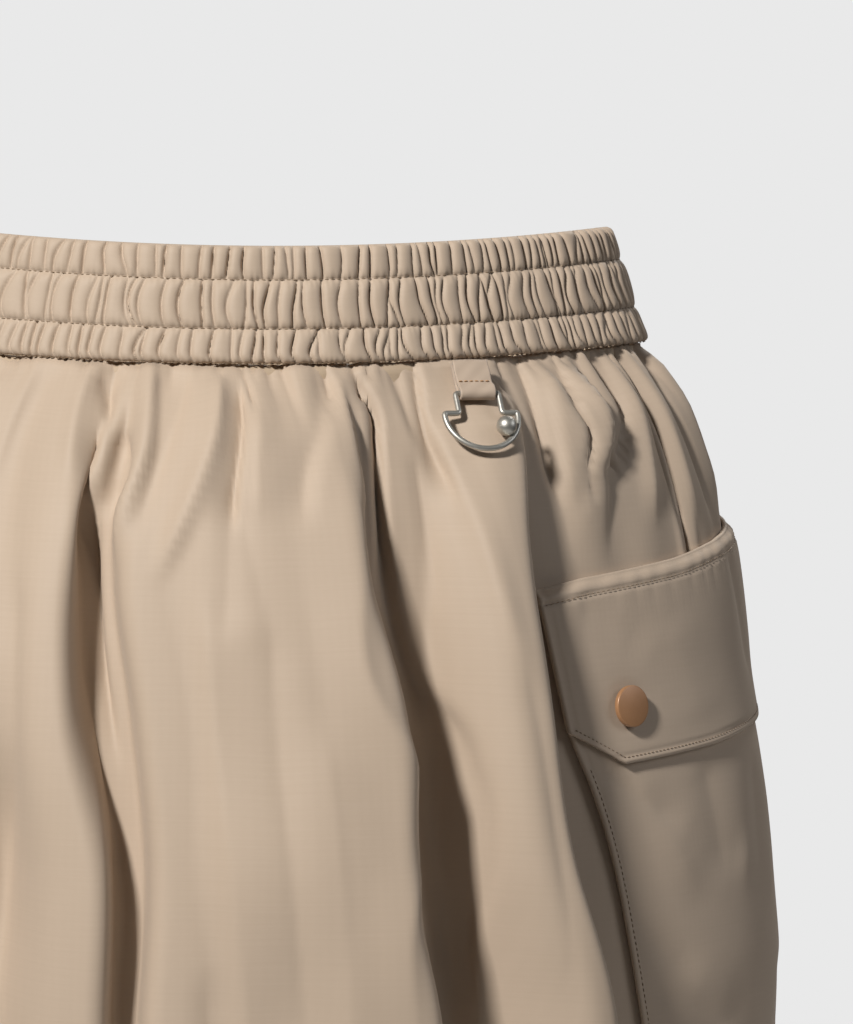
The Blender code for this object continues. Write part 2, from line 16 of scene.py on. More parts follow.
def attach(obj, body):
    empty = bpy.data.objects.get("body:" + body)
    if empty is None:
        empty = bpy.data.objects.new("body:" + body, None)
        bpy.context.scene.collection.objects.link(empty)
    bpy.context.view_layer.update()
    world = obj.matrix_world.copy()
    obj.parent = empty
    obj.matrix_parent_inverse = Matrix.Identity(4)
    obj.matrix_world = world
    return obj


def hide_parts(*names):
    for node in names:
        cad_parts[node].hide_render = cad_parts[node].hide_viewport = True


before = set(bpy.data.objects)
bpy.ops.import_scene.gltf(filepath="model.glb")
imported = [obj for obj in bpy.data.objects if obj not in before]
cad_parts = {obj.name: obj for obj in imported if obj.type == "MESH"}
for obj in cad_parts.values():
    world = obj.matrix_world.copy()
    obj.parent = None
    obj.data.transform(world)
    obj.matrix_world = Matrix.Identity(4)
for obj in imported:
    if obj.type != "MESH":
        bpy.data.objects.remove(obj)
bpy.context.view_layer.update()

# %% [markdown]
# ## Places on the garment
#
# A place is a turn, in degrees round from the middle of the front towards the wearer's left, and
# a drop, in millimetres below the upper edge. Working in these two numbers keeps every crease,
# stitch and pocket on the cloth that carries it, whichever way the cloth folds. The rings and
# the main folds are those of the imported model.

# %% Sizes of the garment
MM = 0.001
BAND_ROWS = (0.0, 11.2, 28.5, 41.0)
BAND_INNER, BAND_OUTER, BAND_PUFF = 2.2, 0.6, 2.0
WAIST_DIP, DIP_SIDE = 9.0, 0.1
PINCH = 0.30
SIDE_SEAM = 66.0
SEAM_GAP = 0.3
SKIRT_TOP = BAND_ROWS[-1] + SEAM_GAP
SKIRT_END, HEM_HEIGHT = 398.0, 14.0
PUCKERS, PUCKER_RISE, PUCKER_FADE = 46, 1.3, 40.0
TAPE_TURN = 29.9

RINGS = {"drop": (0, 41, 65, 90, 120, 170, 230, 290, 340, 380, 400),
         "half_width": (134, 148, 162, 171, 177, 184, 191, 194, 190, 177, 166),
         "half_depth": (80, 88, 98, 106, 112, 120, 127, 130, 125, 111, 101)}
LEVELS = (60, 115, 165, 216, 265, 380)
FOLD_COLUMNS = ("turn", "rise", "spread_low", "spread_high", "hang_low", "hang_high", "lean")
FOLDS = [
    ((9.5, 9.6, 12.2, 12.1, 14.0, 15.0), (8, 17, 23, 26, 27, 9), 54, 16, 0, 0, 9),
    ((-8.7, -9.6, -7.3, -5.7, -6.3, -8), (6, 12, 15, 16, 15, 7), 13, 46, 1, 0, 0),
    ((-17.5, -20.6, -19.9, -16.2, -16.2, -16), (5, 16, 21, 20, 17, 6), 28, 15, 0, 0, 9),
    ((20, 18.5, 20, 21, 22, 23), (0, -2, -5, -8, -9, -2), 11, 10, 0, 0, 0),
    ((32.0, 28.1, 27.8, 28.6, 32.1, 34), (8, 17, 23, 26, 27, 9), 22, 16, 0, 0, 9),
    ((47, 44, 42, 42, 42, 42), (8, 0.3, 0, 0, 0, 0), 12, 11, 0, 3, 4),
    ((-34, -32, -31, -31, -33, -36), (3, 9, 15, 20, 21, 9), 19, 24, 6, 0, 0),
    ((-48, -46, -45, -44, -44, -44), (6, 0.3, 0, 0, 0, 0), 12, 14, 4, 0, 0),
    ((80, 82, 90, 94, 94, 94), (2, 1, 0, 0, 0, 4), 26, 22, 0, 0, 0),
    ((-80, -82, -90, -92, -92, -92), (2, 1, 0, 0, 0, 5), 22, 26, 0, 0, 0),
    ((118, 119, 120, 122, 124, 124), (4, 8, 12, 16, 17, 8), 20, 26, 6, 0, 0),
    ((140, 141, 142, 143, 144, 146), (5, 10, 14, 18, 18, 8), 24, 22, 0, 8, 0),
    ((171, 169, 168, 169, 170, 172), (4, 9, 12, 15, 16, 7), 30, 28, 0, 0, 0),
    ((-147, -148, -149, -148, -146, -148), (5, 9, 13, 16, 17, 8), 22, 26, 8, 0, 0),
    ((-119, -119, -120, -122, -124, -126), (4, 8, 12, 15, 16, 8), 26, 20, 0, 4, 0),
]
CROWN = 1.5                 # above 1, a crest is broader and its flanks steeper
FOLD_START = 26             # drop over which the folds grow below the waist seam
FOLD_LAST, FOLD_LOSS = 370, 0.75        # where the folds flatten above the hem, and how much
TAPE_CALM = 6               # degrees beside the tape without puckers
print("main folds:", len(FOLDS))


# %% Rings, folds and points on the cloth
def smooth_line(knots, values, at):
    """Value at a place on the smooth line through the knots."""
    knots, values = np.asarray(knots, float), np.asarray(values, float)
    slopes = np.gradient(values, knots)
    at = np.clip(at, knots[0], knots[-1])
    low = np.clip(np.searchsorted(knots, at) - 1, 0, len(knots) - 2)
    width = knots[low + 1] - knots[low]
    u = (at - knots[low]) / width
    return ((1 + 2 * u) * (1 - u) ** 2 * values[low] + u * (1 - u) ** 2 * width * slopes[low]
            + u * u * (3 - 2 * u) * values[low + 1] - u * u * (1 - u) * width * slopes[low + 1])


def ease(value):
    """Smooth step from 0 to 1."""
    value = np.clip(value, 0.0, 1.0)
    return value * value * (3 - 2 * value)


def ring_place(turn, half_width, half_depth):
    """Point on a plain ring, its outward and sideways directions and its stride a radian."""
    angle = np.radians(turn)
    sine, cosine = np.sin(angle), np.cos(angle)
    x = half_width * sine
    y = -half_depth * cosine * (1 - PINCH * sine ** 2)
    dx = half_width * cosine
    dy = half_depth * sine * (1 - PINCH * sine ** 2 + 2 * PINCH * cosine ** 2)
    length = np.hypot(dx, dy)
    return x, y, (dy / length, -dx / length), (dx / length, dy / length), length


def ring_at(turn, drop):
    return ring_place(turn, smooth_line(RINGS["drop"], RINGS["half_width"], drop),
                      smooth_line(RINGS["drop"], RINGS["half_depth"], drop))


def waist_dip(turn, drop):
    """How far the edge hangs at this turn; it evens out on the way down."""
    aside = np.sin(np.radians(turn)) - DIP_SIDE
    return WAIST_DIP * (1 - aside ** 2) * (1 - ease(drop / 150))


def around(gap):
    """A difference of turns, brought between -180 and 180 degrees."""
    return (gap + 180) % 360 - 180


def fold_shift(turn, drop, stride):
    """How far the folds move the cloth outwards and sideways, in millimetres."""
    out, along = np.zeros_like(turn), np.zeros_like(turn)
    start = ease((drop - SKIRT_TOP) / FOLD_START)
    end = 1 - FOLD_LOSS * ease((drop - FOLD_LAST) / (SKIRT_END - FOLD_LAST))
    for row in FOLDS:
        fold = dict(zip(FOLD_COLUMNS, row))
        rise = smooth_line(LEVELS, fold["rise"], drop) * start * end
        gap = np.radians(around(turn - smooth_line(LEVELS, fold["turn"], drop))) * stride
        share = np.where(gap < 0, gap / fold["spread_low"], gap / fold["spread_high"])
        inside = np.abs(share) < 1
        bump = np.where(inside, 0.5 + 0.5 * np.cos(np.pi * np.abs(share) ** CROWN), 0)
        hang = np.where(gap < 0, -fold["hang_low"], fold["hang_high"])
        grown = rise / max(map(abs, fold["rise"]))
        out += rise * bump
        along += grown * (fold["lean"] * bump + np.where(inside, hang * np.sin(np.pi * share) ** 2, 0))
    fade = 1 - ease((drop - SKIRT_TOP) / PUCKER_FADE)
    wave = np.sin(np.radians(turn) * PUCKERS + 1.3 * np.sin(np.radians(turn) * 7))
    flat = 1 - np.exp(-((turn - TAPE_TURN) / TAPE_CALM) ** 2)
    out += PUCKER_RISE * fade * ease((drop - SKIRT_TOP) / 5) * wave * flat
    return out, along


def skirt(turn, drop):
    """Points on the middle of the skirt's cloth, in millimetres."""
    turn, drop = np.broadcast_arrays(np.asarray(turn, float), np.asarray(drop, float))
    x, y, outward, sideways, stride = ring_at(turn, drop)
    out, along = fold_shift(turn, drop, stride)
    return np.stack([x + outward[0] * out + sideways[0] * along,
                     y + outward[1] * out + sideways[1] * along,
                     -drop - waist_dip(turn, drop)], axis=-1)


def skirt_normal(turn, drop):
    across = skirt(turn + 0.3, drop) - skirt(turn - 0.3, drop)
    down = skirt(turn, drop + 0.8) - skirt(turn, drop - 0.8)
    normal = np.cross(down, across)
    return normal / np.linalg.norm(normal, axis=-1, keepdims=True)


def skirt_out(turn, drop, out):
    """Points at a distance outside the middle of the skirt's cloth."""
    turn, drop, out = np.broadcast_arrays(np.asarray(turn, float), np.asarray(drop, float),
                                          np.asarray(out, float))
    return skirt(turn, drop) + skirt_normal(turn, drop) * out[..., None]


print("waist opening is", 2 * RINGS["half_width"][0], "by", 2 * RINGS["half_depth"][0], "mm")

# %% [markdown]
# ## The camera
#
# The photograph is a close-up of the wearer's left half of the front, taken with a long lens.
# The camera stands 1.4 m in front of the garment's middle at the height of the waist and is
# turned a little down and to the side, which leaves the paper showing above and on the right.

# %% Camera
PHOTO_WIDE, PHOTO_HIGH = 853, 1024
LENS_PX = 3868.0            # focal length in pixels of the photograph
FRONT_COLUMN = 235.0        # pixel column of the middle of the front
HORIZON_ROW = 265.0         # pixel row at the height of the eye
SENSOR = 36.0
CAMERA_AWAY, CAMERA_HEIGHT = 1.4, -0.015

camera_data = bpy.data.cameras.new("close_up")
camera = bpy.data.objects.new("close_up", camera_data)
bpy.context.scene.collection.objects.link(camera)
camera_data.sensor_width = SENSOR
camera_data.lens = SENSOR * LENS_PX / PHOTO_HIGH
camera_data.clip_start = 0.01
camera.location = (0, -CAMERA_AWAY, CAMERA_HEIGHT)
camera.rotation_euler = (math.pi / 2 - math.atan((PHOTO_HIGH / 2 - HORIZON_ROW) / LENS_PX), 0,
                         -math.atan((PHOTO_WIDE / 2 - FRONT_COLUMN) / LENS_PX))
bpy.context.scene.camera = camera
print("camera lens", round(camera_data.lens, 1), "mm")

# %% [markdown]
# ## Shader expressions
#
# A material is easier to read as sums and products than as loose nodes. The class below wraps
# one socket, so that `1 - mask` or `weave * 0.2` adds its own Math node. Colours go through Mix
# nodes, because a Math node would turn them grey.


# %% A wrapped socket
class Field:
    """One socket of a material's node tree, with arithmetic."""

    def __init__(self, tree, socket):
        self.tree = tree
        self.socket = socket

    def node(self, kind, settings=None, output=0, **sockets):
        """Adds a node of a kind, sets it up, fills its sockets and returns one of its outputs."""
        made = self.tree.nodes.new(kind)
        for key, value in (settings or {}).items():
            setattr(made, key, value)
        for key, value in sockets.items():
            target = made.inputs[int(key[1:]) if key[1:].isdigit() else key.replace("_", " ")]
            if isinstance(value, Field):
                self.tree.links.new(value.socket, target)
            else:
                target.default_value = value
        return Field(self.tree, made.outputs[output])

    def math(self, operation, first, second=0.0):
        return self.node("ShaderNodeMath", {"operation": operation}, _0=first, _1=second)

    def __add__(self, other):
        return self.math("ADD", self, other)

    def __radd__(self, other):
        return self.math("ADD", other, self)

    def __sub__(self, other):
        return self.math("SUBTRACT", self, other)

    def __rsub__(self, other):
        return self.math("SUBTRACT", other, self)

    def __mul__(self, other):
        return self.math("MULTIPLY", self, other)

    def __rmul__(self, other):
        return self.math("MULTIPLY", other, self)

    def clamp(self, low, high):
        return self.math("MINIMUM", self.math("MAXIMUM", self, low), high)

    def mix(self, first, second):
        """A colour between two, by this field."""
        return self.node("ShaderNodeMix", {"data_type": "RGBA"}, 2, _0=self, _6=first, _7=second)


def new_material(name, roughness, metallic=0.0, **constants):
    """A Principled material with its constant values, and a field to build its patterns from."""
    material = bpy.data.materials.new(name)
    material.use_nodes = True
    tree = material.node_tree
    shader = tree.nodes["Principled BSDF"]
    shader.inputs["Roughness"].default_value = roughness
    shader.inputs["Metallic"].default_value = metallic
    for key, value in constants.items():
        shader.inputs[key.replace("_", " ")].default_value = value
    start = tree.nodes.new("ShaderNodeTexCoord")
    return material, shader, Field(tree, start.outputs["Object"]), Field(tree, start.outputs["UV"])


def feed(shader, **fields):
    for key, field in fields.items():
        field.tree.links.new(field.socket, shader.inputs[key.replace("_", " ")])


print("shader helpers ready")

# %% [markdown]
# ## The cloth's finish
#
# The taffeta is smooth and a little papery: a plain weave of fine yarns with a soft sheen, dull
# in the folds and paler on the ridges. The weave follows the panel's own UV map, which is in
# metres of cloth. Slow noise varies the colour and the gloss as dye and handling do.

# %% Cloth materials
YARN_PITCH = 0.00042


def cloth_material(name, light, dark, roughness, crinkle=1.0):
    material, shader, place, flat = new_material(name, roughness, Sheen_Weight=0.2,
                                                 Sheen_Roughness=0.5, Specular_IOR_Level=0.3)
    shader.inputs["Sheen Tint"].default_value = (0.95, 0.88, 0.8, 1)
    warp = place.node("ShaderNodeTexWave", {"bands_direction": "X"}, _0=flat,
                      Scale=0.5 / YARN_PITCH / 10, Distortion=0.6, Detail=1.0)
    weft = place.node("ShaderNodeTexWave", {"bands_direction": "Y"}, _0=flat,
                      Scale=0.5 / YARN_PITCH / 10, Distortion=0.6, Detail=1.0)
    slow = place.node("ShaderNodeTexNoise", None, _0=place, Scale=14.0, Detail=3.0)
    slub_place = place.node("ShaderNodeMapping", None, _0=flat, Scale=(60, 1400, 1))
    slub = place.node("ShaderNodeTexNoise", None, _0=slub_place, Scale=1.0, Detail=2.0)
    crisp = place.node("ShaderNodeTexNoise", None, _0=place, Scale=170.0, Detail=3.0, Roughness=0.55)
    weave = warp * 0.5 + weft * 0.5
    shade = (slow * 0.65 + slub * 0.35 + (weave - 0.5) * 0.1).clamp(0.0, 1.0)
    feed(shader, Base_Color=shade.mix((*dark, 1), (*light, 1)),
         Roughness=roughness - 0.06 + slow * 0.12)
    height = weave * 0.16 + slub * 0.24 + crisp * (0.5 * crinkle)
    bump = place.node("ShaderNodeBump", None, Strength=0.12, Distance=0.0006, Height=height)
    feed(shader, Normal=bump)
    return material


TAN_LIGHT, TAN_DARK = (0.50, 0.395, 0.303), (0.435, 0.34, 0.254)
tan_cloth = cloth_material("tan_taffeta", TAN_LIGHT, TAN_DARK, 0.62)
shorts_cloth = cloth_material("shorts_jersey", (0.47, 0.365, 0.26), (0.4, 0.305, 0.21), 0.62)
print("cloth materials:", tan_cloth.name, shorts_cloth.name)

# %% Thread, tape and metal materials
def thread_material(name, light, dark):
    material, shader, place, _ = new_material(name, 0.55, Sheen_Weight=0.3)
    ply = place.node("ShaderNodeTexNoise", None, _0=place, Scale=2400.0, Detail=2.0)
    tone = place.node("ShaderNodeTexNoise", None, _0=place, Scale=60.0, Detail=1.0)
    feed(shader, Base_Color=(ply * 0.6 + tone * 0.4).clamp(0, 1).mix((*dark, 1), (*light, 1)))
    feed(shader, Normal=place.node("ShaderNodeBump", None, Strength=0.5, Distance=0.0002, Height=ply))
    return material


def tape_material():
    """Woven twill tape: fine ribs across its width."""
    material, shader, place, flat = new_material("twill_tape", 0.6, Sheen_Weight=0.2)
    ribs = place.node("ShaderNodeTexWave", {"bands_direction": "DIAGONAL"}, _0=flat,
                      Scale=90.0, Distortion=0.4, Detail=1.0)
    tone = place.node("ShaderNodeTexNoise", None, _0=place, Scale=90.0, Detail=2.0)
    feed(shader, Base_Color=(ribs * 0.4 + tone * 0.6).mix((0.40, 0.31, 0.235, 1), (0.49, 0.385, 0.295, 1)))
    feed(shader, Normal=place.node("ShaderNodeBump", None, Strength=0.3, Distance=0.0003, Height=ribs))
    return material


def nickel_material():
    """Brushed nickel: fine scratches along the wire, duller where it is handled."""
    material, shader, place, _ = new_material("brushed_nickel", 0.42, 0.85)
    stretched = place.node("ShaderNodeMapping", None, _0=place, Scale=(300, 300, 2600))
    scratch = place.node("ShaderNodeTexNoise", None, _0=stretched, Scale=1.0, Detail=3.0)
    tone = place.node("ShaderNodeTexNoise", None, _0=place, Scale=220.0, Detail=2.0)
    feed(shader, Base_Color=tone.mix((0.44, 0.43, 0.39, 1), (0.58, 0.56, 0.51, 1)),
         Roughness=0.34 + scratch * 0.18)
    feed(shader, Normal=place.node("ShaderNodeBump", None, Strength=0.12, Distance=0.0002,
                                   Height=scratch))
    return material


def enamel_material():
    """Satin copper-tan enamel over metal, a little worn."""
    material, shader, place, _ = new_material("copper_enamel", 0.38, 0.15, Coat_Roughness=0.25)
    tone = place.node("ShaderNodeTexNoise", None, _0=place, Scale=120.0, Detail=3.0)
    speck = place.node("ShaderNodeTexNoise", None, _0=place, Scale=1500.0, Detail=2.0)
    feed(shader, Base_Color=tone.mix((0.33, 0.165, 0.075, 1), (0.43, 0.225, 0.11, 1)),
         Roughness=0.32 + tone * 0.12, Coat_Weight=0.15 + tone * 0.1)
    feed(shader, Normal=place.node("ShaderNodeBump", None, Strength=0.06, Distance=0.0002, Height=speck))
    return material


tan_thread = thread_material("tan_thread", (0.27, 0.185, 0.11), (0.14, 0.09, 0.05))
ring_thread = thread_material("warm_thread", (0.50, 0.29, 0.13), (0.36, 0.19, 0.08))
twill = tape_material()
nickel = nickel_material()
enamel = enamel_material()
print("fittings:", twill.name, nickel.name, enamel.name)

# %% [markdown]
# ## Making cloth
#
# Every panel is a net of points that becomes a thin closed shell, about a millimetre thick, with
# a UV map in metres of cloth for the weave. The net's own points carry the folds and creases, so
# the shape is there from every side and not only in the shading.

# %% Nets and shells
CLOTH_PLY = 0.9


def net_object(name, points, flat, material, wrap_columns=False, wrap_rows=False):
    """A mesh on rows and columns of points in millimetres, with its UV map from flat places."""
    rows, columns = points.shape[:2]
    across, down = columns - 1 + wrap_columns, rows - 1 + wrap_rows
    row, column = np.meshgrid(np.arange(down), np.arange(across), indexing="ij")
    right, below = (column + 1) % columns, (row + 1) % rows
    corners = [row * columns + column, below * columns + column,
               below * columns + right, row * columns + right]
    shifts = [(0, 0), (1, 0), (1, 1), (0, 1)]
    faces = np.stack(corners, axis=-1).reshape(-1, 4)
    mesh = bpy.data.meshes.new(name)
    mesh.from_pydata((points.reshape(-1, 3) * MM).tolist(), [], faces.tolist())
    layer = mesh.uv_layers.new(name="cloth")
    wide = np.stack([flat[np.minimum(row + dr, rows - 1), np.minimum(column + dc, columns - 1)]
                     for dr, dc in shifts], axis=2)
    layer.data.foreach_set("uv", (wide * MM).astype(np.float32).ravel())
    thing = bpy.data.objects.new(name, mesh)
    bpy.context.scene.collection.objects.link(thing)
    mesh.materials.append(material)
    mesh.shade_smooth()
    return thing


def select_only(thing):
    bpy.ops.object.select_all(action="DESELECT")
    thing.select_set(True)
    bpy.context.view_layer.objects.active = thing


def thicken(thing, ply=CLOTH_PLY, offset=0.0):
    """Turns a net into a closed shell of its real thickness."""
    select_only(thing)
    wall = thing.modifiers.new("ply", "SOLIDIFY")
    wall.thickness = ply * MM
    wall.offset = offset
    bpy.ops.object.modifier_apply(modifier="ply")
    return thing


def half_surface(thing):
    return sum(face.area for face in thing.data.polygons) / 2


def flat_places(turn, drop, reach=170.0):
    """Places on the flat cloth, in millimetres, for a net of turns and drops."""
    return np.stack([np.radians(turn) * reach, -drop], axis=-1)


print("cloth ply", CLOTH_PLY, "mm")

# %% [markdown]
# ## Creases
#
# Taffeta takes two kinds of crease: long soft ones that fall with the folds, and short sharp ones
# that fan out from a gathered seam. A crease here is a row of a table: its turn at a few drops,
# its height (below zero is a trough) and how far it spreads to each side. The short ones at the
# seam are drawn from a seeded generator, because there are too many to place by hand.

# %% Long creases, listed one by one
CREASE_COLUMNS = ("drops", "turns", "height", "low", "high")
CREASES = [
    # middle of the front, from the wearer's right
    ((66, 91, 120, 147, 184), (-17.0, -16.0, -15.2, -14.2, -11.8), -6.0, 11, 3),
    ((44, 60, 85), (-19.0, -19.6, -19.2), 1.8, 6, 6),
    ((46, 55, 62, 64), (-17.6, -16.0, -14.2, -11.8), -2.4, 3.5, 3.5),
    ((68, 79, 97), (-13.2, -12.0, -14.2), -2.4, 8, 5),
    ((44, 70, 95, 116), (-10.8, -9.7, -11.5, -12.8), 3.4, 7, 3.4),
    ((44, 64, 84, 110), (-6.2, -7.2, -9.0, -10.8), -1.7, 8, 8),
    ((46, 65, 98, 122), (-1.8, -2.5, -5.5, -8.4), 3.4, 8, 5.5),
    ((50, 66, 80, 102), (0.4, 0.0, -0.6, -1.4), -4.2, 8, 2.0),
    ((84, 110, 142), (-1.4, -1.6, -1.8), -1.5, 8, 9),
    ((46, 58, 76, 100), (2.4, 2.0, 1.4, 1.0), 1.2, 2.5, 10),
    ((43, 48, 57), (1.0, 1.5, 2.0), -2.2, 2.5, 2.5),
    ((48, 62, 76, 102), (11.0, 9.0, 6.8, 5.0), -2.1, 11, 7),
    ((42, 50, 58), (11.5, 12.0, 10.4), -2.3, 3, 3),
    ((46, 56, 66, 84, 104), (13.7, 12.9, 12.4, 12.6, 12.4), 1.9, 5, 4),
    ((92, 112, 136), (-0.4, 0.6, 1.6), -1.3, 11, 10),
    ((126, 190, 262, 330), (-3.2, -1.4, 0.6, 2.0), 1.8, 9, 9),
    ((130, 200, 290), (1.9, 3.0, 5.2), -1.8, 10, 9),
    ((170, 240, 330), (6.2, 7.4, 9.4), 1.3, 12, 10),
    ((200, 262, 350), (-12.2, -12.0, -13.5), -1.6, 8, 9),
    ((250, 300, 370), (-2.8, -1.9, -1.4), -1.4, 9, 10),
    # the dark valley and the lobe beside the ring
    ((43, 49, 55), (18.2, 16.6, 15.2), -2.2, 3, 3),
    ((46, 58, 70, 98, 128), (15.8, 17.6, 17.3, 17.0, 17.8), -5.6, 6, 2.4),
    ((110, 150, 168, 185, 212, 248, 290), (16.4, 19.2, 22.0, 23.0, 23.6, 24.0, 25.5), -3.6, 14, 4),
    ((84, 116, 150, 185, 240, 290), (11.4, 10.6, 10.2, 14.6, 12.6, 14.0), 2.2, 16, 7),
    ((42, 56, 70), (21.0, 21.5, 22.0), -1.8, 3.5, 4),
    ((42, 62, 80, 94), (24.7, 23.5, 24.2, 24.5), -3.6, 8, 2),
    ((64, 98, 126, 152), (24.9, 25.3, 25.7, 26.4), 1.7, 5, 6),
    ((76, 113, 141, 162), (21.6, 21.6, 21.2, 21.8), -1.6, 6, 5),
    ((150, 210, 290), (27.0, 28.0, 30.0), -1.6, 9, 11),
    ((110, 180, 260), (31.5, 31.8, 34.0), 1.1, 7, 6),
    ((42, 49, 56), (34.2, 36.0, 37.0), -1.5, 3, 3),
    # the hanging lobe over the pocket
    ((42, 53, 64, 80, 99), (41.2, 40.9, 40.4, 40.0, 40.6), -3.2, 5, 4),
    ((46, 60, 72, 86, 98), (45.2, 43.5, 42.8, 42.3, 41.6), 2.2, 5, 5),
    ((43, 52, 60, 70, 80, 90), (48.6, 47.0, 45.4, 46.0, 44.8, 43.2), -2.8, 3, 3),
    ((47, 57, 65, 74, 84), (51.8, 48.8, 48.6, 48.0, 45.6), 2.0, 4, 4),
    ((42, 51, 62, 73, 83, 88, 98), (56.6, 58.0, 58.2, 55.5, 51.0, 46.0, 42.0), -3.6, 3.5, 4.5),
    ((44, 64, 82, 108), (62.0, 61.6, 59.6, 57.0), 2.2, 9, 8),
    # beside the side seam
    ((42, 62, 84, 112), (63.0, 64.2, 64.3, 64.8), -2.6, 5, 3),
    ((43, 90, 112), (69.5, 69.5, 70.5), 1.4, 6, 6),
    ((42, 62, 80, 108), (77.5, 73.5, 75.0, 78.0), -2.6, 5, 5),
    ((44, 80, 108), (82.0, 82.5, 85.0), 1.7, 7, 8),
    ((46, 84, 108), (88.0, 90.0, 94.0), -2.1, 8, 8),
    # below the pockets
    ((300, 336, 380), (52, 54, 56), -2.0, 10, 12),
    ((300, 340, 384), (72, 71, 70), -2.3, 12, 12),
    ((300, 344, 386), (88, 89, 90), 1.7, 12, 12),
    # the wearer's right of the front
    ((44, 76, 120), (-16.0, -16.6, -16.0), -1.9, 7, 7),
    ((46, 84, 140), (-27.0, -28.0, -27.0), 2.0, 9, 8),
    ((44, 66, 94), (-38.0, -36.8, -37.0), -3.2, 5, 5),
    ((120, 190, 280), (-24.5, -24.0, -25.0), -2.0, 10, 9),
    ((160, 230, 330), (-15.5, -14.5, -15.0), 1.7, 10, 10),
    ((44, 64, 92), (-56.0, -55.0, -49.0), -3.3, 5, 6),
    ((46, 70, 110), (-61.0, -60.0, -61.0), 1.9, 8, 8),
    ((44, 86, 118), (-72.0, -72.5, -74.0), -2.0, 8, 8),
    ((44, 84, 116), (-84.0, -86.0, -90.0), -1.9, 9, 9),
    ((300, 340, 384), (-58, -60, -61), -2.2, 11, 12),
    ((300, 340, 384), (-80, -80, -79), -1.9, 12, 12),
    # the back
    ((44, 80, 140), (106, 107, 109), -2.2, 9, 9),
    ((44, 70, 112), (116, 117, 118), -2.5, 7, 7),
    ((46, 90, 170), (129, 130, 131), -2.3, 9, 10),
    ((44, 74, 120), (136, 136, 138), 1.9, 8, 8),
    ((60, 130, 240), (148, 150, 150), -2.2, 10, 11),
    ((44, 72, 110), (157, 156, 158), -2.6, 7, 6),
    ((46, 96, 180), (166, 164, 162), 1.9, 10, 9),
    ((44, 84, 150), (178, 177, 176), -2.3, 8, 9),
    ((120, 200, 310), (172, 171, 172), -1.9, 12, 12),
    ((44, 72, 116), (-171, -171, -172), 1.9, 8, 8),
    ((46, 92, 170), (-160, -161, -162), -2.3, 9, 9),
    ((44, 76, 120), (-141, -141, -140), -2.5, 7, 8),
    ((60, 140, 250), (-132, -133, -134), 1.7, 10, 10),
    ((44, 74, 110), (-126, -127, -128), -2.2, 7, 7),
    ((46, 90, 160), (-111, -111, -112), -2.2, 9, 9),
    ((150, 230, 330), (-140, -139, -138), -2.0, 11, 12),
    ((160, 240, 340), (134, 135, 136), -2.0, 12, 12),
]


def crease_lift(turn, drop, stride):
    """Height of the long creases over the folds."""
    lift = np.zeros_like(turn)
    for row in CREASES:
        crease = dict(zip(CREASE_COLUMNS, row))
        first, last = crease["drops"][0], crease["drops"][-1]
        reach = 0.3 * (last - first)
        shown = ease((drop - first) / (0.5 * reach) + 0.4) * (1 - ease((drop - last + reach) / reach))
        gap = np.radians(around(turn - smooth_line(crease["drops"], crease["turns"], drop))) * stride
        share = np.abs(np.where(gap < 0, gap / crease["low"], gap / crease["high"]))
        lift += crease["height"] * shown * np.where(share < 1, (1 - share ** 1.2) ** 2, 0)
    return lift


print("long creases:", len(CREASES))

# %% Short creases below the waist seam and above the hem
SEAM_CREASES, SEAM_DEPTH = 116, 2.5
HEM_CREASES, HEM_DEPTH = 120, 1.5
CREASE_CALM = 5             # degrees beside the tape without short creases
CREASE_REACH = 8            # a short crease is left out past this distance from its middle
CRUMPLE = 0.22


def gather_table(count, seed, shortest, longest):
    """Places, lengths, leans and depths of the small creases at a gathered seam."""
    draw = np.random.default_rng(seed)
    places = np.cumsum(draw.uniform(0.45, 1.55, count))
    return {"turn": places / places[-1] * 360 - 180,
            "length": shortest + (longest - shortest) * draw.uniform(0, 1, count) ** 2.2,
            "lean": draw.uniform(-1.0, 1.0, count),
            "depth": draw.uniform(0.35, 1.0, count),
            "width": draw.uniform(1.5, 3.0, count)}


def gather_lift(turn, below, stride, table):
    """Troughs that start at the seam and run out at their own lengths."""
    lift = np.zeros_like(turn)
    for place, length, lean, depth, width in zip(*table.values()):
        gap = np.radians(around(turn - place)) * stride - lean * 0.12 * below
        near = np.abs(gap) < CREASE_REACH
        spread = width * (1 + below / 22)
        trough = np.exp(-(np.sqrt(gap[near] ** 2 + 0.1) - 0.3) / spread[near])
        lift[near] -= depth * trough * (1 - ease(below[near] / length))
    return lift


waist_gathers = gather_table(SEAM_CREASES, 11, 8, 34)
hem_gathers = gather_table(HEM_CREASES, 23, 8, 34)


def cloth_lift(turn, drop):
    """All the fine shape of the skirt: long creases, gathers and a slight crumple."""
    _, _, _, _, stride = ring_at(turn, drop)
    lift = crease_lift(turn, drop, stride)
    below = np.maximum(drop - SKIRT_TOP, 0)
    calm = 1 - np.exp(-((turn - TAPE_TURN) / CREASE_CALM) ** 2)
    lift += SEAM_DEPTH * calm * gather_lift(turn, below, stride, waist_gathers)
    above = np.maximum(SKIRT_END - drop, 0)
    lift += HEM_DEPTH * gather_lift(turn, above, stride, hem_gathers)
    angle = np.radians(turn)
    crumple = (np.sin(angle * 23 + drop * 0.031 + 2.1 * np.sin(drop * 0.017 + angle * 5))
               + np.sin(angle * 31 - drop * 0.043 + 1.7 * np.sin(drop * 0.023 - angle * 8)))
    return lift + CRUMPLE * crumple * ease(below / 40)


print("short creases:", SEAM_CREASES + HEM_CREASES)

# %% [markdown]
# ## The skirt's panels
#
# The front and back panels meet at side seams that lie well forward of the sides. Each panel's
# edges roll in by a millimetre or so where they are sewn, which gives the seam its fine dark line.

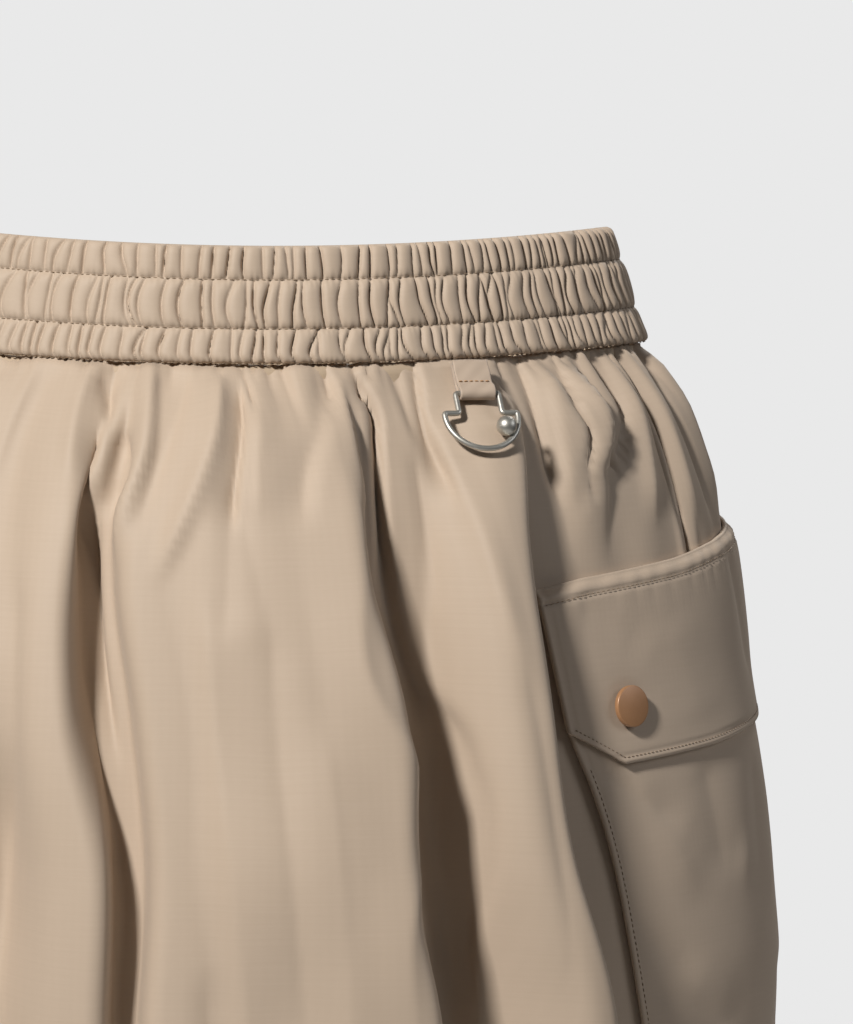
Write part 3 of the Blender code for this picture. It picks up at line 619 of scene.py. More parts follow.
# %% Skirt panels
SEAM_ROLL = 1.5
PANEL_APART = math.degrees(0.25 / 100)  # half the gap between two panels, as a turn
SEWN_ABOVE, SEWN_BELOW = 0.6, 1.4        # how far a panel reaches into its gathered seams


def seam_roll(turn, stride):
    """How far a panel's edge sinks beside the side seam."""
    aside = np.radians(np.abs(np.abs(turn) - SIDE_SEAM)) * stride
    return SEAM_ROLL * np.exp(-(aside / 1.3) ** 1.5) - 0.55 * np.exp(-((aside - 4.5) / 1.8) ** 2)


def skirt_rows(count):
    """Drops of the rows: close together at both gathered edges."""
    share = np.linspace(0, 1, count)
    spread = share + 0.07 * np.sin(2 * np.pi * share - 0.5) + 0.07 * np.sin(0.5)
    spread = (spread - spread[0]) / (spread[-1] - spread[0])
    return SKIRT_TOP - SEWN_ABOVE + (SKIRT_END - SKIRT_TOP + SEWN_ABOVE + SEWN_BELOW) * spread


def make_panel(name, node, first, last, columns, rows):
    across = np.linspace(first + PANEL_APART, last - PANEL_APART, columns)
    turn, drop = np.meshgrid(across, skirt_rows(rows))
    _, _, _, _, stride = ring_at(turn, drop)
    out = cloth_lift(turn, drop) - seam_roll(around(turn), stride)
    out -= 0.25 * np.exp(-(drop - SKIRT_TOP) / 1.0)
    panel = net_object(name, skirt_out(turn, drop, out), flat_places(turn, drop), tan_cloth)
    thicken(panel)
    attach(panel, "garment")
    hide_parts(node)
    print(name, "shows", round(half_surface(panel), 4), "m2,", len(panel.data.polygons), "faces")
    return panel


front_panel = make_panel("cloth_skirt_front", "skirt_front", -SIDE_SEAM, SIDE_SEAM, 340, 136)
back_panel = make_panel("cloth_skirt_back", "skirt_back", SIDE_SEAM, 360 - SIDE_SEAM, 380, 104)

# %% [markdown]
# ## The waistband
#
# Wide elastic is shirred between two layers with rows of stretched stitching. When it relaxes, the
# cloth bunches into narrow ridges with dark creases between them: upright in the upper channel,
# bowed like leaves in the tall middle one, slanted in the lower one. Each crease has its own path
# down the channel. Some bend over to meet the next one, which closes the ridge between them.

# %% Creases of the three channels
BAND_COLUMNS = 1760
band_turns = np.linspace(-180, 180, 2881)
band_x, band_y, _, _, _ = ring_place(band_turns, RINGS["half_width"][0], RINGS["half_depth"][0])
band_run = np.concatenate([[0], np.cumsum(np.hypot(np.diff(band_x), np.diff(band_y)))])
BAND_LENGTH = band_run[-1]
CHANNELS = [
    {"count": 172, "seed": 5, "lean": (-1.7, 0.9), "bow": (-0.3, 0.3), "hook": 0.0, "joined": 0.16},
    {"count": 168, "seed": 14, "lean": (-1.5, 1.0), "bow": (-2.3, 0.5), "hook": 0.0, "joined": 0.5},
    {"count": 182, "seed": 31, "lean": (-2.6, -0.3), "bow": (-0.6, 0.3), "hook": 1.3, "joined": 0.3},
]
CREASE_WIDTH = 0.38
CROWDED = 0.018             # how much closer the creases stand at the sides
LONGEST_PULL, PULL_OVER = 2.0, 0.75     # how far a crease bends to meet the next, and over what share
FULL_RIDGE = 4.2            # width from which a ridge has its full height
SMALL_GATHERS = 300


def channel_creases(count, seed, lean, bow, hook, joined):
    """Each crease's place along the band, how its path bends, and how deep it is."""
    draw = np.random.default_rng(seed)
    places = np.cumsum(draw.uniform(0.5, 1.5, count))
    share = places / places[-1]
    kind = draw.uniform(0, 1, count)
    return {"place": (share + CROWDED * np.sin(4 * np.pi * share)) * BAND_LENGTH,
            "lean": draw.uniform(*lean, count),
            "bow": draw.uniform(*bow, count),
            "hook": hook * draw.uniform(0.4, 1.2, count),
            "depth": np.where(draw.uniform(0, 1, count) < 0.4, 1.0, draw.uniform(0.35, 0.7, count)),
            "meets_below": np.where(kind < joined / 2, draw.uniform(0.2, 0.5, count), 2.0),
            "meets_above": np.where((kind >= joined / 2) & (kind < joined),
                                    draw.uniform(0.5, 0.8, count), -1.0)}


def ridge_row(run, down, table):
    """Ridge height and crease depth, both from 0 to 1, along one row of a channel."""
    path = (table["place"] + table["lean"] * (down - 0.5) + table["bow"] * np.sin(np.pi * down)
            + table["hook"] * ease((down - 0.7) / 0.3))
    after = np.append(path[1:], path[0] + BAND_LENGTH)
    pull = np.maximum(ease((down - table["meets_below"]) / PULL_OVER),
                      ease((table["meets_above"] - down) / PULL_OVER))
    path = path + 0.9 * pull * np.clip(after - path, 0, LONGEST_PULL)
    path, depth = np.maximum.accumulate(path), table["depth"]
    path = np.concatenate([path[-2:] - BAND_LENGTH, path, path[:2] + BAND_LENGTH])
    depth = np.concatenate([depth[-2:], depth, depth[:2]])
    place = np.clip(np.searchsorted(path, run), 1, len(path) - 1)
    before, behind = run - path[place - 1], path[place] - run
    wide = np.maximum(before + behind, 0.3)
    share = np.clip(before / wide, 0, 1) ** 0.85
    ridge = (1 - (2 * share - 1) ** 2) * np.minimum(1, wide / FULL_RIDGE)
    crease = (depth[place - 1] * np.exp(-before / CREASE_WIDTH)
              + depth[place] * np.exp(-behind / CREASE_WIDTH))
    return ridge, np.minimum(crease, 1.1)


def row_gathers(run, near_row, seed):
    """Close little gathers that stand along a row of stitches."""
    draw = np.random.default_rng(seed)
    places = np.cumsum(draw.uniform(0.6, 1.4, SMALL_GATHERS))
    places = places / places[-1] * BAND_LENGTH
    phase = np.interp(run, places, np.arange(1, SMALL_GATHERS + 1))
    return near_row * (0.5 - 0.5 * np.cos(2 * np.pi * phase))


print("waistband is", round(BAND_LENGTH), "mm round at its upper edge")


# %% Waistband mesh
ROW_PINCH = 1.3             # distance from a row of stitches over which the cloth rises
SWELL_SHARES = (0.35, 0.6, 0.4)
LOWER_ROLL, ROLL_REACH = 1.1, 0.9       # how far the lower edge turns in, and over what height


def band_out(run, drop):
    """How far the band's outside stands from the middle of the cloth, for a row at one drop."""
    number = int(np.clip(np.searchsorted(BAND_ROWS, drop) - 1, 0, 2))
    top, bottom = BAND_ROWS[number], BAND_ROWS[number + 1]
    down = (drop - top) / (bottom - top)
    nearest = max(bottom - drop if number == 0 else min(bottom - drop, drop - top), 0)
    full = 1 - math.exp(-nearest / ROW_PINCH)
    ridge, crease = ridge_row(run, down, tables[number])
    small = row_gathers(run, math.exp(-nearest / 1.5), 40 + number)
    swell = BAND_PUFF * SWELL_SHARES[number] * full
    out = BAND_OUTER + 0.75 + swell + (0.45 + 0.6 * full) * ridge - (0.6 + 1.2 * full) * crease
    rolled = LOWER_ROLL * math.exp(-(BAND_ROWS[3] - drop) / ROLL_REACH) if number == 2 else 0
    return np.maximum(out - 0.4 * small, BAND_OUTER - 0.9) - rolled


tables = [channel_creases(**channel) for channel in CHANNELS]


def band_drops():
    """Rows of the band's outside, closer beside the stitching."""
    drops = []
    for number, count in enumerate((13, 18, 14)):
        top, bottom = BAND_ROWS[number], BAND_ROWS[number + 1]
        share = 0.5 - 0.5 * np.cos(np.pi * np.linspace(0, 1, count + 1))
        share = 0.6 * share + 0.4 * np.linspace(0, 1, count + 1)
        drops += list(top + (bottom - top) * share)[(1 if number else 0):]
    return np.array(drops)


def band_points(turn, drop, out):
    x, y, outward, _, _ = ring_at(turn, drop)
    return np.stack([x + outward[0] * out, y + outward[1] * out, -drop - waist_dip(turn, drop)], axis=-1)


def make_waistband():
    turn = np.interp(np.arange(BAND_COLUMNS) / BAND_COLUMNS * BAND_LENGTH, band_run, band_turns)
    drops = band_drops()
    turns, drop = np.meshgrid(turn, drops)
    run = np.interp(turn, band_turns, band_run)
    out = np.array([band_out(run, place) for place in drops])
    top_roll = np.exp(-drop / 0.8)
    out -= top_roll * 0.9
    outer = band_points(turns, drop, out)
    outer[..., 2] += 0.25 * np.exp(-drop / 1.0) * (out - out[:1].mean())
    edge = band_points(turn, np.full_like(turn, -0.55), 0.45 * out[0])
    edge_in = band_points(turn, np.full_like(turn, -0.35), np.full_like(turn, -1.5))
    inside_drops = np.linspace(0.4, BAND_ROWS[-1] - 0.3, 6)
    t_in, d_in = np.meshgrid(turn, inside_drops)
    ripple = 0.3 * np.sin(np.interp(t_in, band_turns, band_run) * 1.15 + 0.5 * np.sin(d_in * 0.4))
    inner = band_points(t_in, d_in, -BAND_INNER - 0.1 + ripple * np.sin(np.pi * d_in / BAND_ROWS[-1]))
    under = band_points(turn, np.full_like(turn, BAND_ROWS[-1] - 0.1), np.full_like(turn, -1.0))
    points = np.concatenate([edge[None], outer, under[None], inner[::-1], edge_in[None]])
    wide = np.broadcast_to(np.interp(turn, band_turns, band_run), points.shape[:2])
    step = np.linalg.norm(np.diff(points, axis=0, prepend=points[:1]), axis=-1)
    flat = np.stack([wide, -np.cumsum(step, axis=0)], axis=-1)
    band = net_object("cloth_waistband", points, flat, tan_cloth, True, True)
    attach(band, "garment")
    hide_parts("waistband")
    print("waistband shows", round(half_surface(band), 4), "m2,", len(band.data.polygons), "faces")
    return band


waistband = make_waistband()

# %% [markdown]
# ## Pockets
#
# Each cargo pocket is a bag sewn over the side seam, with a flap above it. Both lie on the skirt,
# so their points are the skirt's own, moved out. The flap is two plies thick and stands a little
# off the bag; its cut-off front corner and its lower edge show that thickness.

# %% Pocket sizes
WALL = 1.2
FLAP = {"turn": (34.3, 41.8, 60, 97, 107),
        "upper": (126, 122.5, 118, 105, 103),
        "lower": (175, 187.5, 184.5, 175, 162)}
FLAP_SLANT = 0.055
BAG = {"drop": (141, 176, 193, 282, 302),
       "front": (36.6, 37.6, 39.8, 46.0, 47.4),
       "back": (105, 106, 106.5, 107.5, 108)}
BAG_OUT = WALL + 1.1
FLAP_SEWN = WALL + 0.8
FLAP_OUT = BAG_OUT + WALL + 0.9
POCKET_PUFF = 2.6
SNAP_PLACES = (("front", 46.2, 168.0), ("back", 100.0, 158.0))
DEGREE = 2.3                # run of the cloth under the pockets for one degree, in millimetres
FLAP_STITCH = 5.8           # distance of the stitches from the flap's upper edge


def bag_puff(share, drop):
    """Swelling of the bag below its flap."""
    top, end = BAG["drop"][1] - 25, BAG["drop"][-1]
    grown = ease((drop - top) / 60) * (1 - ease((drop - end + 45) / 45))
    return POCKET_PUFF * np.sin(np.pi * share) * grown


def flap_place(share, down):
    """Turn and drop of a place on a flap, from shares of its width and height."""
    turn = FLAP["turn"][0] + (FLAP["turn"][-1] - FLAP["turn"][0]) * share
    upper, lower = (np.interp(turn, FLAP["turn"], FLAP[edge]) for edge in ("upper", "lower"))
    drop = upper + (lower - upper) * down
    return turn + FLAP_SLANT * (drop - upper) * (1 - share), drop


def flap_out(share, down, drop):
    """Height of the flap's middle over the skirt's: sewn down above, over the bag below."""
    return FLAP_SEWN + (FLAP_OUT - FLAP_SEWN) * ease(down * 12) + bag_puff(share, drop)


print("flap is", FLAP["lower"][1] - FLAP["upper"][1], "mm deep at its point")


# %% Pocket bags and flaps
def dent(turn, drop, places):
    """Soft troughs and ridges across a pocket, each along a straight line."""
    lift = np.zeros_like(turn)
    for turn_a, drop_a, turn_b, drop_b, height, width in places:
        across = np.array([(turn_b - turn_a) * DEGREE, drop_b - drop_a])
        length = np.hypot(*across)
        along_x, along_y = (turn - turn_a) * DEGREE, drop - drop_a
        t = (along_x * across[0] + along_y * across[1]) / length ** 2
        off = (along_x * across[1] - along_y * across[0]) / length
        share = np.abs(off) / (width * (1 + 0.5 * np.clip(t, 0, 1)))
        lift += height * ease(t * 4 + 0.3) * ease((1 - t) * 3) * np.exp(-share ** 1.6)
    return lift


BAG_DENTS = [
    (40, 186, 55, 214, -1.3, 5), (46, 190, 57, 240, 0.9, 6), (60, 190, 63, 236, -0.9, 7),
    (41, 236, 56, 268, -1.2, 5), (44, 262, 62, 284, -0.9, 5), (76, 192, 72, 250, -1.0, 8),
    (90, 190, 92, 262, -1.1, 8), (52, 292, 70, 274, -0.8, 6), (104, 200, 96, 246, -0.9, 6),
    (84, 296, 86, 262, -0.8, 7), (66, 226, 84, 238, 0.7, 9),
]
FLAP_DENTS = [
    (77, 113, 84, 172, -1.2, 5), (88, 111, 92, 168, 0.8, 7), (40, 132, 52, 150, -0.5, 9),
    (56, 140, 61, 182, 0.5, 11), (98, 110, 99, 158, -0.7, 6),
]


def flip_side(points, flat, side):
    """Keeps the outside outwards on the wearer's right, where the turns run the other way."""
    return (points[:, ::-1], flat[:, ::-1]) if side < 0 else (points, flat)


def make_bag(word, side):
    share, drop = np.meshgrid(np.linspace(0, 1, 150), np.linspace(BAG["drop"][0], BAG["drop"][-1], 110))
    front = smooth_line(BAG["drop"], BAG["front"], drop)
    back = smooth_line(BAG["drop"], BAG["back"], drop)
    turn = front + (back - front) * share
    wide = (back - front) * DEGREE
    rim = np.minimum.reduce([share * wide, (1 - share) * wide, BAG["drop"][-1] - drop])
    out = BAG_OUT + bag_puff(share, drop) + dent(turn, drop, BAG_DENTS) * ease(rim / 12)
    out += 0.35 * np.exp(-((rim - 0.9) / 1.0) ** 2) - 0.3 * np.exp(-((rim - 2.2) / 0.5) ** 2)
    points, flat = flip_side(skirt_out(side * turn, drop, out), flat_places(turn, drop), side)
    bag = thicken(net_object(f"cloth_pocket_bag_{word}", points, flat, tan_cloth), WALL)
    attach(bag, "garment")
    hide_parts(f"pocket_bag_{word}")
    print(bag.name, "shows", round(half_surface(bag), 4), "m2")


def make_flap(word, side):
    down_rows = np.sort(np.concatenate([np.linspace(0, 1, 56), (0.012, 0.03, 0.97, 0.985)]))
    width = FLAP["turn"][-1] - FLAP["turn"][0]
    corners = [(turn - FLAP["turn"][0]) / width for turn in FLAP["turn"]]
    shares = np.array(sorted(set(np.round(list(np.linspace(0, 1, 150)) + corners, 5))))
    share, down = np.meshgrid(shares, down_rows)
    turn, drop = flap_place(share, down)
    upper = np.interp(turn, FLAP["turn"], FLAP["upper"])
    lower = np.interp(turn, FLAP["turn"], FLAP["lower"])
    wide = width * DEGREE
    rim = np.minimum.reduce([share * wide, (1 - share) * wide, lower - drop])
    out = flap_out(share, down, drop) + dent(turn, drop, FLAP_DENTS) * ease(rim / 14)
    out -= 0.45 * np.exp(-((rim - 2.0) / 0.6) ** 2) - 0.15 * np.exp(-((rim - 0.9) / 0.8) ** 2)
    sewn = drop - upper
    out -= 0.8 * np.exp(-((sewn - FLAP_STITCH) / 0.8) ** 2)
    for _, snap_turn, snap_drop in SNAP_PLACES:
        away = np.hypot((turn - snap_turn) * DEGREE, drop - snap_drop)
        out -= 0.35 * ease((15 - away) / 9) - 0.12 * np.exp(-((away - 9.5) / 2) ** 2)
    ripple = 0.5 + 0.5 * np.sin(turn * 1.55 + 1.2 * np.sin(turn * 0.37))
    out += 0.45 * np.exp(-((sewn - 3.0) / 1.6) ** 2) * (0.4 + ripple)
    lower_side = sewn - FLAP_STITCH
    out -= 0.35 * ripple ** 3 * np.exp(-np.maximum(lower_side, 0) / 4) * ease(lower_side / 1.5)
    points, flat = flip_side(skirt_out(side * turn, drop, out), flat_places(turn, drop), side)
    flap = thicken(net_object(f"cloth_pocket_flap_{word}", points, flat, tan_cloth), WALL + 0.3, -0.6)
    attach(flap, "garment")
    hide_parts(f"pocket_flap_{word}")
    print(flap.name, "shows", round(half_surface(flap), 4), "m2")


SIDES = (("left", 1), ("right", -1))
for word, side in SIDES:
    make_bag(word, side)
for word, side in SIDES:
    make_flap(word, side)

# %% [markdown]
# ## Hem band and shorts
#
# The hem is a narrow elastic casing that draws the balloon in. The shorts hang inside it, one
# panel a leg. Both show only from below and from above, so they are finished plainly.

# %% Hem band
HEM_PLY, HEM_SLANT, HEM_WAVES = 2.0, 0.25, 96


def make_hem():
    rows = np.linspace(SKIRT_END + SEAM_GAP, SKIRT_END + HEM_HEIGHT, 14)
    turn, drop = np.meshgrid(np.arange(0, 360, 0.36), rows)
    down = (drop - drop.min()) / (drop.max() - drop.min())
    angle = np.radians(turn)
    wave = np.sin(angle * HEM_WAVES + 2.0 * np.sin(angle * 9) + 0.8 * np.sin(down * 3))
    out = 1.4 * np.sin(np.pi * down) + 0.8 * (0.4 + 0.6 * np.sin(np.pi * down)) * wave
    drawn_in = HEM_SLANT * (drop - SKIRT_END)
    x, y, outward, _, _ = ring_place(turn, RINGS["half_width"][-1] - drawn_in,
                                     RINGS["half_depth"][-1] - drawn_in)
    points = np.stack([x + outward[0] * out, y + outward[1] * out, -drop], axis=-1)
    hem = net_object("cloth_hem_band", points, flat_places(turn, drop), tan_cloth, wrap_columns=True)
    thicken(hem, HEM_PLY)
    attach(hem, "garment")
    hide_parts("hem_band")
    print(hem.name, "shows", round(half_surface(hem), 4), "m2")


make_hem()

# %% Shorts
SHORTS_END = 335.0
CROTCH_TOP, CROTCH_END, LEG_SPREAD, SHORTS_WALL = 130.0, 250.0, 9.0, 1.0
SHORTS_PLY, LEG_HEM = 0.8, 15
SHORTS_RINGS = {"drop": (41.3, 60, 100, 160, 250, 335),
                "half_width": (146.0, 148, 151, 152, 151, 149),
                "half_depth": (86.6, 87, 88, 88, 88, 86)}


def make_shorts_leg(word, side):
    rows = np.linspace(SKIRT_TOP + 0.6, SHORTS_END, 72)
    share, drop = np.meshgrid(np.linspace(0, 1, 150), rows)
    half_width = smooth_line(SHORTS_RINGS["drop"], SHORTS_RINGS["half_width"], drop)
    half_depth = smooth_line(SHORTS_RINGS["drop"], SHORTS_RINGS["half_depth"], drop)
    closing = 90 * ease((drop - CROTCH_TOP) / (CROTCH_END - CROTCH_TOP))
    rolled = closing * 0.985
    start, finish = np.radians(-rolled), np.radians(180 + rolled)
    angle = start + (finish - start) * share
    middle_gap = (SEAM_GAP + SHORTS_WALL * closing / 90) / 2 + LEG_SPREAD * ease((drop - CROTCH_END) / 85)
    radius = (half_width - middle_gap) / (1 - np.sin(start))
    gather = 0.7 * np.sin(angle * 34 + 1.3 * np.sin(angle * 6)) * np.exp(-(drop - SKIRT_TOP) / 26)
    above = drop - SHORTS_END + LEG_HEM
    hem = 0.5 * ease((above + 1) / 1.5) - 0.4 * np.exp(-(above / 1.2) ** 2)
    soft = 0.5 * np.sin(angle * 5 + drop * 0.02) * ease((drop - 90) / 60)
    lift = (gather + hem + soft) * ease(np.sin(np.pi * share) * 6) - 0.2
    x = middle_gap - radius * np.sin(start) + (radius + lift) * np.sin(angle)
    pinch = 1 - PINCH * np.clip(np.sin(angle), 0, 1) ** 2
    y = -(half_depth + lift) * np.cos(angle) * pinch
    z = -drop - waist_dip(side * np.degrees(angle), drop) * (1 - ease((drop - 60) / 60))
    points, flat = flip_side(np.stack([side * x, y, z], axis=-1),
                             np.stack([angle * 150, -drop], axis=-1), side)
    leg = thicken(net_object(f"cloth_shorts_{word}", points, flat, shorts_cloth), SHORTS_PLY)
    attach(leg, "garment")
    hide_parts(f"shorts_{word}")
    print(leg.name, "shows", round(half_surface(leg), 4), "m2")


for word, side in SIDES:
    make_shorts_leg(word, side)

# %% [markdown]
# ## Stitches
#
# A machine stitch is a short float of thread that dips into the cloth at both ends. One is made
# from a small sphere drawn out and flattened, and then laid again and again along each seam, as
# one joined mesh for each row.


# %% One stitch and rows of them
def stitch_shape(length, radius):
    """Points and faces of one stitch along X, from a primitive that is then removed."""
    bpy.ops.object.select_all(action="DESELECT")
    bpy.ops.mesh.primitive_uv_sphere_add(segments=6, ring_count=5, radius=radius,
                                         rotation=(0, math.pi / 2, 0))
    made = bpy.context.active_object
    bpy.ops.object.transform_apply(location=True, rotation=True, scale=True)
    points = np.array([vert.co for vert in made.data.vertices])
    points[:, 0] *= length / (2 * radius)
    points[:, 2] -= 0.35 * radius * (points[:, 0] / (length / 2)) ** 2
    faces = [list(face.vertices) for face in made.data.polygons]
    bpy.data.objects.remove(made, do_unlink=True)
    return points, faces


def stitch_row(name, centres, aheads, normals, length, radius, material):
    """One joined mesh of stitches, each turned along its seam and out of its cloth."""
    shape, faces = stitch_shape(length, radius)
    ahead = aheads / np.linalg.norm(aheads, axis=-1, keepdims=True)
    out = normals - ahead * np.sum(normals * ahead, axis=-1, keepdims=True)
    out /= np.linalg.norm(out, axis=-1, keepdims=True)
    side = np.cross(out, ahead)
    axes = np.stack([ahead, side, out], axis=1)
    points = centres[:, None, :] + np.einsum("pk,nkc->npc", shape, axes)
    count = len(shape)
    all_faces = [[vert + number * count for vert in face]
                 for number in range(len(centres)) for face in faces]
    mesh = bpy.data.meshes.new(name)
    mesh.from_pydata((points.reshape(-1, 3) * MM).tolist(), [], all_faces)
    mesh.materials.append(material)
    mesh.shade_smooth()
    row = bpy.data.objects.new(name, mesh)
    bpy.context.scene.collection.objects.link(row)
    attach(row, "garment")
    return row


def along(points, pitch):
    """Places at an even pitch on a line of points, with the direction of the line."""
    step = np.linalg.norm(np.diff(points, axis=0), axis=1)
    run = np.concatenate([[0], np.cumsum(step)])
    places = np.arange(pitch / 2, run[-1], pitch)
    centre = np.stack([np.interp(places, run, points[:, axis]) for axis in range(3)], axis=1)
    further = np.stack([np.interp(places + 0.3, run, points[:, axis]) for axis in range(3)], axis=1)
    nearer = np.stack([np.interp(places - 0.3, run, points[:, axis]) for axis in range(3)], axis=1)
    return places / run[-1], centre, further - nearer


print("stitches are made from", len(stitch_shape(1.6, 0.2)[0]), "points each")

# %% Rows of stitching on the waistband
BAND_STITCH, BAND_PITCH, THREAD = 1.5, 2.2, 0.21


def band_stitches(number, drop):
    turn = np.linspace(-180, 180, 2401)
    run = np.interp(turn, band_turns, band_run)
    out = band_out(run, drop)
    out = np.maximum.reduce([out, np.roll(out, 2), np.roll(out, -2)]) + 0.1
    smooth = band_points(turn, np.full_like(turn, drop), out)
    for _ in range(3):
        smooth[1:-1] = (smooth[:-2] + 2 * smooth[1:-1] + smooth[2:]) / 4
    _, centre, ahead = along(smooth, BAND_PITCH)
    normal = centre * np.array([1, 1, 0])
    return stitch_row(f"stitches_band_{number}", centre, ahead, normal, BAND_STITCH, THREAD, tan_thread)


for number, drop in enumerate((BAND_ROWS[1], BAND_ROWS[2], BAND_ROWS[3] + SEAM_GAP / 2)):
    row = band_stitches(number + 1, drop)
    print(row.name, len(row.data.polygons), "faces")


# %% Rows of stitching on the pockets
POCKET_THREAD = 0.19
FLAP_EDGE_STITCH = (1.9, 1.3)           # pitch and length
BAG_STITCH = (2.1, 1.4)
BAG_THREAD_OUT = 0.05
BAG_EDGE = 0.85             # turn between the bag's edge and its stitches


def cloth_stitches(name, turn, drop, out, side, pitch=2.3, length=1.6):
    points = skirt_out(side * turn, drop, out)
    normals = skirt_normal(side * turn, drop)
    share, centre, ahead = along(points, pitch)
    places = np.linspace(0, 1, len(turn))
    normal = np.stack([np.interp(share, places, normals[:, axis]) for axis in range(3)], axis=1)
    return stitch_row(name, centre, ahead, normal, length, POCKET_THREAD, tan_thread)


def pocket_stitches(word, side):
    made = []
    share = np.linspace(0.008, 0.992, 240)
    turn, upper = flap_place(share, np.zeros_like(share))
    _, lower = flap_place(share, np.ones_like(share))
    down = FLAP_STITCH / (lower - upper)
    turn, drop = flap_place(share, down)
    out = flap_out(share, down, drop) - 0.55
    made.append(cloth_stitches(f"stitches_flap_top_{word}", turn, drop, out + 0.85, side))
    share = np.linspace(0.012, 0.988, 300)
    _, upper = flap_place(share, np.zeros_like(share))
    _, lower = flap_place(share, np.ones_like(share))
    turn, drop = flap_place(share, 1 - 2.2 / (lower - upper))
    out = flap_out(share, np.ones_like(share), drop) + 0.05
    made.append(cloth_stitches(f"stitches_flap_edge_{word}", turn, drop, out + 0.3, side,
                               *FLAP_EDGE_STITCH))
    drop = np.linspace(BAG["drop"][1] + 12, BAG["drop"][-1] - 1, 200)
    front = smooth_line(BAG["drop"], BAG["front"], drop) + BAG_EDGE
    out = BAG_OUT + WALL / 2 + BAG_THREAD_OUT + bag_puff(np.full_like(drop, 0.015), drop)
    made.append(cloth_stitches(f"stitches_bag_front_{word}", front, drop, out, side, *BAG_STITCH))
    back = smooth_line(BAG["drop"], BAG["back"], drop) - BAG_EDGE
    made.append(cloth_stitches(f"stitches_bag_back_{word}", back, drop, out, side, *BAG_STITCH))
    share = np.linspace(0.02, 0.98, 200)
    turn = BAG["front"][-1] + (BAG["back"][-1] - BAG["front"][-1]) * share
    drop = np.full_like(share, BAG["drop"][-1] - 2.0)
    out = BAG_OUT + WALL / 2 + BAG_THREAD_OUT + bag_puff(share, drop)
    made.append(cloth_stitches(f"stitches_bag_end_{word}", turn, drop, out, side, *BAG_STITCH))
    return made


for word, side in SIDES:
    rows = pocket_stitches(word, side)
    print(word, "pocket:", sum(len(row.data.polygons) for row in rows), "faces of thread")

# %% [markdown]
# ## Tape and ring
#
# A folded tape holds the ring under the waist seam. The ring is bent wire: an upper bar, two
# necks, two shoulders and a round bow. It is drawn as a bender would make it: a small circle is
# extruded along each straight and spun round each corner, and the half is mirrored.

# %% Places of the tape and the ring
TAPE_WIDTH, TAPE_PLY = 12.5, 1.0
TAPE_STITCH, TAPE_THREAD, TAPE_PITCH = 1.4, 0.24, 1.9
TAPE_PINCHED = 4.2          # height over the bar where the two plies come together
RING_DROP, RING_OUT, RING_REST, RING_WIRE = 56.0, 3.6, 3.4, 2.0
RING_BAR, RING_NECK, RING_BOW, RING_BOW_DEPTH = 15.4, 8.0, 13.0, 13.4
BEAD_RADIUS, BEAD_ASIDE, BEAD_PROUD, BEAD_BELOW = 3.5, 7.6, 1.8, 6.4
RING_BEND = 0.9
RING_HEADING = 14.0
RING_REACH = 16
LOOP_ROOM = 0.3
SKIRT_EDGE = SKIRT_TOP + 0.6


def bar_frame(upper, lower):
    """Place of the ring's upper bar, leaning from one point of the cloth towards another."""
    centre = skirt_out(TAPE_TURN, RING_DROP, RING_OUT)
    heading = math.radians(RING_HEADING)
    fall = lower - upper
    lean = math.atan2(fall[0] * math.sin(heading) - fall[1] * math.cos(heading), -fall[2])
    return (Matrix.Translation(Vector(centre) * MM) @ Matrix.Rotation(heading, 4, "Z")
            @ Matrix.Rotation(-lean, 4, "X"))


bar_point = skirt_out(TAPE_TURN, RING_DROP, RING_OUT)
tape_frame = bar_frame(skirt_out(TAPE_TURN, SKIRT_EDGE, RING_OUT), bar_point)
ring_frame = bar_frame(bar_point, skirt_out(TAPE_TURN, RING_DROP + RING_REACH, RING_REST))
print("ring's bar at", tuple(round(value, 4) for value in ring_frame.translation))


